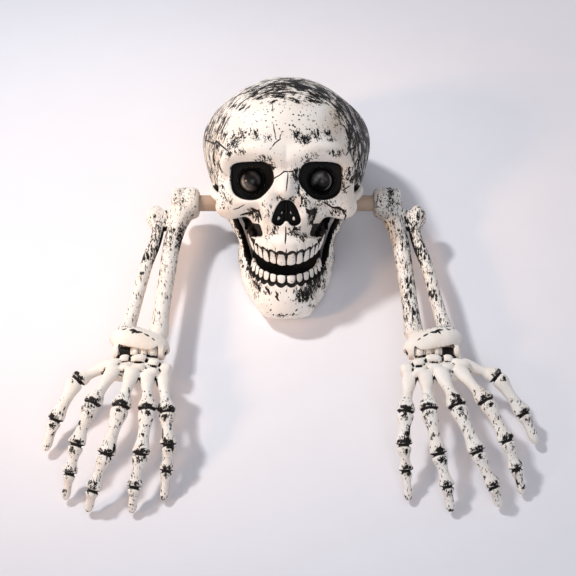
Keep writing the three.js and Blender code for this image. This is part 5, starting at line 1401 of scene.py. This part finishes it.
def jointGroove(place, size, along):  # the gap round a knuckle, cupped over the head
    groove, reach = hand["groove"], 1.8 * size

    def form(field, margin):
        window, spots = field.window(place - reach, place + reach)
        away = [spots[k] - np.float32(place[k]) for k in range(3)]
        shift = sum(away[k] * np.float32(along[k]) for k in range(3))
        square = sum(a * a for a in away)
        radial = np.sqrt(np.maximum(square - shift ** 2, 0))
        gap = np.abs(shift + groove["cup"] * (radial - 0.6 * size)) - groove["half"]
        made = np.maximum(gap, groove["core"] * size - radial)
        return window, np.maximum(made, np.sqrt(square) - reach).astype(np.float32)

    return form


def sweepWide(stations):  # a plate along Y from (x, y, z, half width, half height) stations
    rows = curved(stations, 3)
    x0, y0, z0, widths, heights = rows.T
    order = np.argsort(y0)

    def form(field, margin):
        low = (x0 - widths).min(), y0.min(), (z0 - heights).min()
        high = (x0 + widths).max(), y0.max(), (z0 + heights).max()
        window, (x, y, z) = field.window(np.array(low) - margin, np.array(high) + margin)
        centre, level, wide, thick = (np.interp(y, y0[order], rows[order, k]) for k in (0, 2, 3, 4))
        a, b = np.abs(x - centre) / wide, np.abs(z - level) / thick
        made = ((a ** 3 + b ** 3) ** (1 / 3) - 1) * thick
        ends = np.maximum(y0.min() - y, y - y0.max())
        return window, softMost(made, ends + 0 * made, 3).astype(np.float32)

    return form


def knuckleMarks(points, joints):  # the ink beside the knuckles, and how far a place is from their gaps
    near, gap = np.zeros(len(points)), np.full(len(points), 9.0)
    headInk, baseInk = hand["headInk"], hand["baseInk"]
    for place, size, along in joints:
        away = points - place
        shift = away @ along
        aside = np.linalg.norm(away[:, :2] - shift[:, None] * along[:2], axis=1)
        radial = np.sqrt(np.maximum((away ** 2).sum(1) - shift ** 2, 0))
        ringed = shift + hand["groove"]["cup"] * (radial - 0.6 * size)
        gap = np.minimum(gap, np.where(radial < 1.5 * size, 0.7 * (np.abs(ringed + 0.3) - 1.25), 9))
        head = bell(shift, -headInk["back"], headInk["long"]) * np.exp(-(aside / size) ** 4)
        base = bell(shift, baseInk["ahead"], baseInk["long"]) * bell(aside, 0, baseInk["wide"] * size)
        near = np.maximum(near, np.maximum(head, 0.9 * base) * (np.abs(shift) < 3 * size))
    return near, gap


def addHands():
    made = []
    for name, side in sides.items():
        field, joints = growHand(hand["splay"][name])
        piece, points, normals = skinOf("hand" + name, field, mirrorOf(side))
        x, y, z = points.T
        near, gap = knuckleMarks(points, joints)
        tips = region(hand["tips"], low=-z, ahead=-y, inner=-x)
        facing = ramp(normals[:, 2], 0.0, 0.5)
        cave = ramp(x, wristPlace[0] + 6, wristPlace[0] + 8) * (np.abs(y - wristPlace[1]) < 7.2)
        carpal = ramp(y, -265, -258)
        setMarks(piece, points, {
            "hollow": field.hollows(points, normals, (1.0, 2.2, 4.5)) * (1 - 0.12 * carpal),
            "hatch": 0.2 * ramp(-y, 262, 280) * facing, "speck": 0.2 * ramp(-y, 250, 270),
            # painted shade: black on the wrist barrel where it sits under the forearm's end, beside the dark knuckle
            # gaps
            "smudge": 1.0 * near * facing + 0.85 * tips, "pool": np.minimum(gap, 3 - 6 * cave),
            # painted warm shade on faces turned away from the top
            "tan": 0.55 * (1 - facing) + 0.15,
            "stroke": np.stack([0.26 * x, 0.09 * y + 0.7 * side, 0.2 * z], 1),
            "dab": np.stack([0.26 * x, 0.15 * y + 0.7 * side, 0.2 * z], 1),
        })
        made.append(piece)
    return made


# Turned pieces: lenses, cups and the cross tube


def turnedPiece(name, profile, place, axis, sides=64):
    # profile rows are (radius, along); place and axis are in millimetres of the object's frame
    axis = Vector(axis).normalized()
    across = axis.orthogonal().normalized()
    other = axis.cross(across)
    profile = np.array(profile, float)
    angles = np.linspace(0, 2 * math.pi, sides, endpoint=False)
    ring = np.outer(np.cos(angles), across) + np.outer(np.sin(angles), other)
    points = (np.array(place) + profile[:, 1, None, None] * np.array(axis)
              + profile[:, 0, None, None] * ring[None]).reshape(-1, 3) * millimetre
    rows, cols = np.meshgrid(np.arange(len(profile) - 1), np.arange(sides), indexing="ij")
    nexts = (cols + 1) % sides
    faces = np.stack([rows * sides + cols, rows * sides + nexts, (rows + 1) * sides + nexts,
                      (rows + 1) * sides + cols], -1).reshape(-1, 4)
    piece = bpy.data.objects.new(name, meshOf(name, points, faces))
    scene.collection.objects.link(piece)
    return piece


def rounded(profile, radius=0.4, steps=3):  # a profile with its inner corners rounded
    p = [np.array(q, float) for q in profile]
    rows = [p[0]]
    for before, here, after in zip(p, p[1:], p[2:]):
        a, b = before - here, after - here
        reach = min(radius, 0.45 * np.linalg.norm(a), 0.45 * np.linalg.norm(b))
        if reach < 1e-4:
            rows.append(here)
            continue
        start, end = here + reach * a / np.linalg.norm(a), here + reach * b / np.linalg.norm(b)
        for k in range(steps + 1):
            t = k / steps
            rows.append((1 - t) ** 2 * start + 2 * t * (1 - t) * here + t * t * end)
    return np.array(rows + [p[-1]])


eyeAxis = (0, -tiltCosine, tiltSine)


def eyePlace(side):
    point = np.array([[side * eye["across"] * skull["halfWidth"], 0, eye["up"] * skull["halfHeight"]]])
    return fromSkull(point)[0] / millimetre


def addEye(name, side):
    seat, front, rim = eyeFloor + clearance, eyeFloor + eye["lip"], eye["lens"]
    radius = eye["swell"] * rim
    shoulder = seat + 0.35 + eye["collar"]
    drop = math.sqrt(radius ** 2 - rim ** 2)
    turns = np.linspace(math.asin(drop / radius), math.pi / 2, 22)
    dome = [(radius * math.cos(a), shoulder + radius * math.sin(a) - drop) for a in turns]
    dome[-1] = (0, dome[-1][1])
    ends = [(0, seat + 0.35), (rim - 0.3, seat + 0.35), (rim, seat + 0.65)]
    place = eyePlace(side)
    lens = turnedPiece("eyeLens" + name, ends + dome, place, eyeAxis)
    x, y, z = ((placesOf(lens.data) / millimetre - place) / rim).T
    up = (y + z) * tiltSine
    ring = np.hypot(x, up)
    # painted reflection: pale crescents and spots on the lens where the lamps would be mirrored
    glow = 0
    for far, thin, turn, strength in eye["glows"][name]:
        toward = x * math.cos(turn) + up * math.sin(turn)
        glow = glow + strength * bell(ring, far, thin) * ramp(toward, 0.2 * far, 0.95 * far)
    setMark(lens, "glow", glow)
    hole, bore, flange, outer = eye["hole"], rim + clearance, eye["flange"], eye["cup"]
    shelf = cupBack + eye["flangeThick"]
    cup = turnedPiece("eyeCup" + name, rounded([
        (hole, cupBack), (flange, cupBack), (flange, shelf), (outer, shelf), (outer, front), (bore, front),
        (bore, seat), (hole, seat), (hole, cupBack)], 0.35), place, eyeAxis)
    return lens, cup


def addTube():
    half, radius, bore = tube["half"], tube["radius"], tube["bore"]
    rows = [(bore, -half), (radius, -half)]
    rows += [(radius, x) for x in np.linspace(-half, half, 41)[1:-1]]
    rows += [(radius, half), (bore, half), (bore, -half)]
    return turnedPiece("crossTube", rounded(rows, 0.5, 2), hub, (1, 0, 0), 72)


# Finishes


ink = {
    "colour": (0.007, 0.005, 0.004), "wash": (0.33, 0.27, 0.22), "washMost": 0.62, "specular": 0.22,
    # where each kind of mark begins to show and is full black
    "crease": (0.4, 0.48), "blot": (0.62, 0.655), "smudged": (0.06, 0.2), "line": (0.6, 0.635),
    "thread": (0.61, 0.645), "hatched": (0.03, 0.12), "spot": (0, 0.05), "spotted": (0.42, 0.5),
    "crack": (0.9, 1.5), "crackEnd": (1.8, 2.6), "crackGap": (0.62, 0.74), "rim": (0.25, 0.6),
    "pool": (-0.2, 0.25), "soft": (0.56, 0.9),
}


def inkedIvory(name, base, stainAndShade):
    finish = Finish(name)
    places = finish.places()
    fine = finish.noise(1500, 4, 0.6, places)
    mid = finish.noise(430, 4, 0.62, places, 0.4)
    broad = finish.noise(60, 3, 0.5, places)
    cluster = finish.noise(95, 2, 0.5, places) - 0.5
    stroke, dab = finish.mark("stroke", "Vector"), finish.mark("dab", "Vector")
    strokes = finish.noise(1, 3, 0.6, stroke, 0.35)
    hairs = finish.noise(2.2, 2, 0.6, stroke, 0.3)
    dabs = finish.noise(1, 3, 0.6, dab, 0.5)
    hollow, smudge, hatch = finish.mark("hollow"), finish.mark("smudge"), finish.mark("hatch")
    speck, white, pool = finish.mark("speck"), finish.mark("tooth"), finish.mark("pool")
    near, side, tan = finish.mark("crackNear"), finish.mark("crackSide"), finish.mark("tan")
    wobble = (mid - 0.5) * 1.6
    hatched = hatch.above(*ink["hatched"])
    creases = (hollow + (mid - 0.5) * 0.6 + (fine - 0.5) * 0.35).above(*ink["crease"])
    blots = (dabs * 0.65 + fine * 0.35 + smudge * 0.22 + cluster * 0.08).above(*ink["blot"])
    blots = blots * smudge.above(*ink["smudged"])
    lines = (strokes * 0.75 + fine * 0.25 + hatch * 0.19 + cluster * 0.3).above(*ink["line"]) * hatched
    threads = (hairs * 0.7 + mid * 0.3 + hatch * 0.16).above(*ink["thread"]) * hatched
    spots = (speck * 0.33 - finish.cells(270, places)).above(*ink["spot"]) * mid.above(*ink["spotted"])
    cracks = (1 - abs(side + wobble * 1.2).above(*ink["crack"])) * (1 - near.above(*ink["crackEnd"]))
    cracks = cracks * (fine + mid).above(*ink["crackGap"])
    rims = 1 - (white + wobble * 0.9 + cluster * 0.8).above(*ink["rim"])
    # black paint in the sockets and nose, and painted shade in hollows, the inside and faces turned away from the
    # front
    pools = 1 - (pool + wobble * 0.6).above(*ink["pool"])
    black = creases.most(blots).most(lines).most(threads).most(spots).most(cracks).most(rims).most(pools)
    soft = (dabs * 0.4 + broad * 0.3 + hollow * 0.5 + smudge.most(hatch) * 0.34).above(*ink["soft"])
    # the ivory drifts towards the stain colour at random, and towards it as painted warm shade
    ivory = finish.blend((broad - 0.5) * 1.2 + (mid - 0.5) * 0.5 + tan * 0.8, base, stainAndShade)
    washed = finish.blend(soft * ink["washMost"], ivory, ink["wash"])
    return finish.wear({
        "Base Color": finish.blend(black, washed, ink["colour"]),
        "Roughness": (mid - 0.5) * 0.2 + black * 0.1 + 0.48,
        "Specular IOR Level": ink["specular"],
        "Normal": finish.bump(mid * 0.5 + fine * 0.3 - black * 0.7 - creases * 0.4, 0.35, 0.0006),
    })


def plainPlastic(name, colour, roughness, shade=0.85, coat=0.0, specular=0.5):
    finish = Finish(name)
    fine = finish.noise(900, 3)
    broad = finish.noise(70, 2)
    darker = tuple(shade * c for c in colour)
    return finish.wear({
        "Base Color": finish.blend((broad * 0.8 + fine * 0.3).least(1), darker, colour),
        "Roughness": (fine - 0.5) * 0.15 + roughness,
        "Coat Weight": coat, "Coat Roughness": 0.08, "Specular IOR Level": specular,
        "Normal": finish.bump(fine, 0.15, 0.0003),
    })


def stretched(finish, shares):
    return finish.node("ShaderNodeVectorMath", {"operation": "MULTIPLY"}, {0: finish.places(), 1: shares})


def brightMetal(name, colour, roughness):
    finish = Finish(name)
    brushed = finish.noise(1, 4, 0.6, stretched(finish, (2400, 240, 2400)))
    return finish.wear({
        "Base Color": finish.blend(brushed, tuple(0.7 * c for c in colour), colour),
        "Roughness": brushed * 0.15 + roughness,
        "Metallic": 1,
        "Normal": finish.bump(brushed, 0.1, 0.0002),
    })


def smokedDome():
    finish = Finish("smokedDome")
    swirl = finish.noise(140, 3, 0.5, None, 0.6)
    # painted reflection: the glint mark lightens the dark smoke towards pale grey
    glow = finish.mark("glow") * (finish.noise(420, 3, 0.6, None, 0.5) * 1.6 - 0.1)
    smoke = finish.blend(swirl, (0.003, 0.003, 0.003), (0.012, 0.011, 0.012))
    return finish.wear({
        "Base Color": finish.blend(glow, smoke, (0.5, 0.47, 0.45)),
        "Roughness": swirl * 0.14 + 0.1,
        "Specular IOR Level": 0.3,
        "Normal": finish.bump(swirl, 0.12, 0.002),
    })


def laminate():
    finish = Finish("boardLaminate")
    weave = finish.cells(1400)
    tracks = finish.noise(1, 1, 0.3, stretched(finish, (90, 700, 90))).above(0.52, 0.54)
    green = finish.blend(weave, (0.02, 0.11, 0.05), (0.03, 0.17, 0.08))
    return finish.wear({
        "Base Color": finish.blend(tracks * 0.6, green, (0.05, 0.25, 0.11)),
        "Roughness": weave * 0.2 + 0.4,
        "Normal": finish.bump(tracks, 0.3, 0.0002),
    })


def floorFinish():
    finish = Finish("paleFloor")
    fine = finish.noise(30, 3)
    return finish.wear({
        "Base Color": finish.blend(fine, (0.84, 0.835, 0.87), (0.87, 0.865, 0.9)),
        "Roughness": fine * 0.1 + 0.75,
    })


def addFloor():
    half = studio["floorSize"] / 2
    corners = [(-half, -half, 0), (half, -half, 0), (half, half, 0), (-half, half, 0)]
    floor = bpy.data.objects.new("floor", meshOf("floor", corners, [[0, 1, 2, 3]]))
    scene.collection.objects.link(floor)
    floor.data.materials.append(floorFinish())


# The whole scene

addCamera()
addStudio()
addFloor()
print("camera, floor and lamps placed")

boneIvory = inkedIvory("boneIvory", (0.9, 0.87, 0.81), (0.72, 0.59, 0.47))
toothIvory = inkedIvory("toothIvory", (0.9, 0.87, 0.81), (0.68, 0.6, 0.5))
# painted shade: the cream tube is given the darker tan brown that it shows in shade
shadedTubeTan = plainPlastic("tubePlastic", (0.56, 0.42, 0.31), 0.5, 0.7)
blackPlastic = plainPlastic("blackPlastic", (0.012, 0.012, 0.013), 0.42, 0.5)
dullBlack = plainPlastic("dullBlack", (0.006, 0.006, 0.006), 0.75, 0.5, specular=0.1)
dome = smokedDome()


def settle(piece, material, body, slot, *nodes):
    piece.data.materials.clear()
    piece.data.materials.append(material)
    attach(piece, body)
    if nodes:
        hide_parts(*nodes)


settle(addFace(), boneIvory, "frame", "ivory_plastic", "skull_face_shell")
settle(addCrown(), boneIvory, "frame", "ivory_plastic", "skull_crown_shell")
print("skull grown")
settle(addTeeth("upperTeeth", upperShape), toothIvory, "frame", "ivory_plastic")
settle(addJaw(), boneIvory, "jaw", "ivory_plastic", "jaw")
settle(addTeeth("lowerTeeth", lowerShape), toothIvory, "jaw", "ivory_plastic")
print("jaw and teeth grown")
for pieces, body, node in ((addForearms(), "arm_", "forearm_"), (addHands(), "hand_", "hand_")):
    for piece, side in zip(pieces, ("left", "right")):
        settle(piece, boneIvory, body + side, "ivory_plastic", node + side)
print("arms and hands grown")
for name, way in sides.items():
    lens, cup = addEye(name, way)
    settle(lens, dome, "frame", "smoked_lens", "eye_lens_" + name.lower())
    settle(cup, dullBlack, "frame", "black_plastic", "eye_cup_" + name.lower())
settle(addTube(), shadedTubeTan, "frame", "tube_plastic", "cross_tube")
print("eyes and tube turned")

springSteel = brightMetal("springSteel", (0.75, 0.75, 0.73), 0.25)
nodeFinishes = {  # by how a node's name starts; black plastic for the others
    "ground_stake": plainPlastic("stakePlastic", (0.016, 0.016, 0.017), 0.5, 0.6),
    "eye_led": plainPlastic("lampPlastic", (0.85, 0.86, 0.84), 0.15, 0.9, 0.5),
    "led_lead": plainPlastic("wireSkin", (0.5, 0.02, 0.02), 0.4, 0.75),
    "control_board": laminate(),
    "battery_cell": plainPlastic("cellSleeve", (0.03, 0.12, 0.08), 0.3, 0.8, 0.4),
    "battery_contact": springSteel,
    "battery_bridge": springSteel,
    "tube_plug": shadedTubeTan,
    "screw": brightMetal("zincScrew", (0.62, 0.61, 0.58), 0.3),
}


def finishFor(node):
    if any(word in node for word in ("screw", "washer", "pin")):
        return nodeFinishes["screw"]
    for start, material in nodeFinishes.items():
        if node.startswith(start):
            return material
    return blackPlastic


for node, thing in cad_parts.items():
    if not thing.hide_render:
        thing.data.materials.clear()
        thing.data.materials.append(finishFor(node))
print("working parts finished")
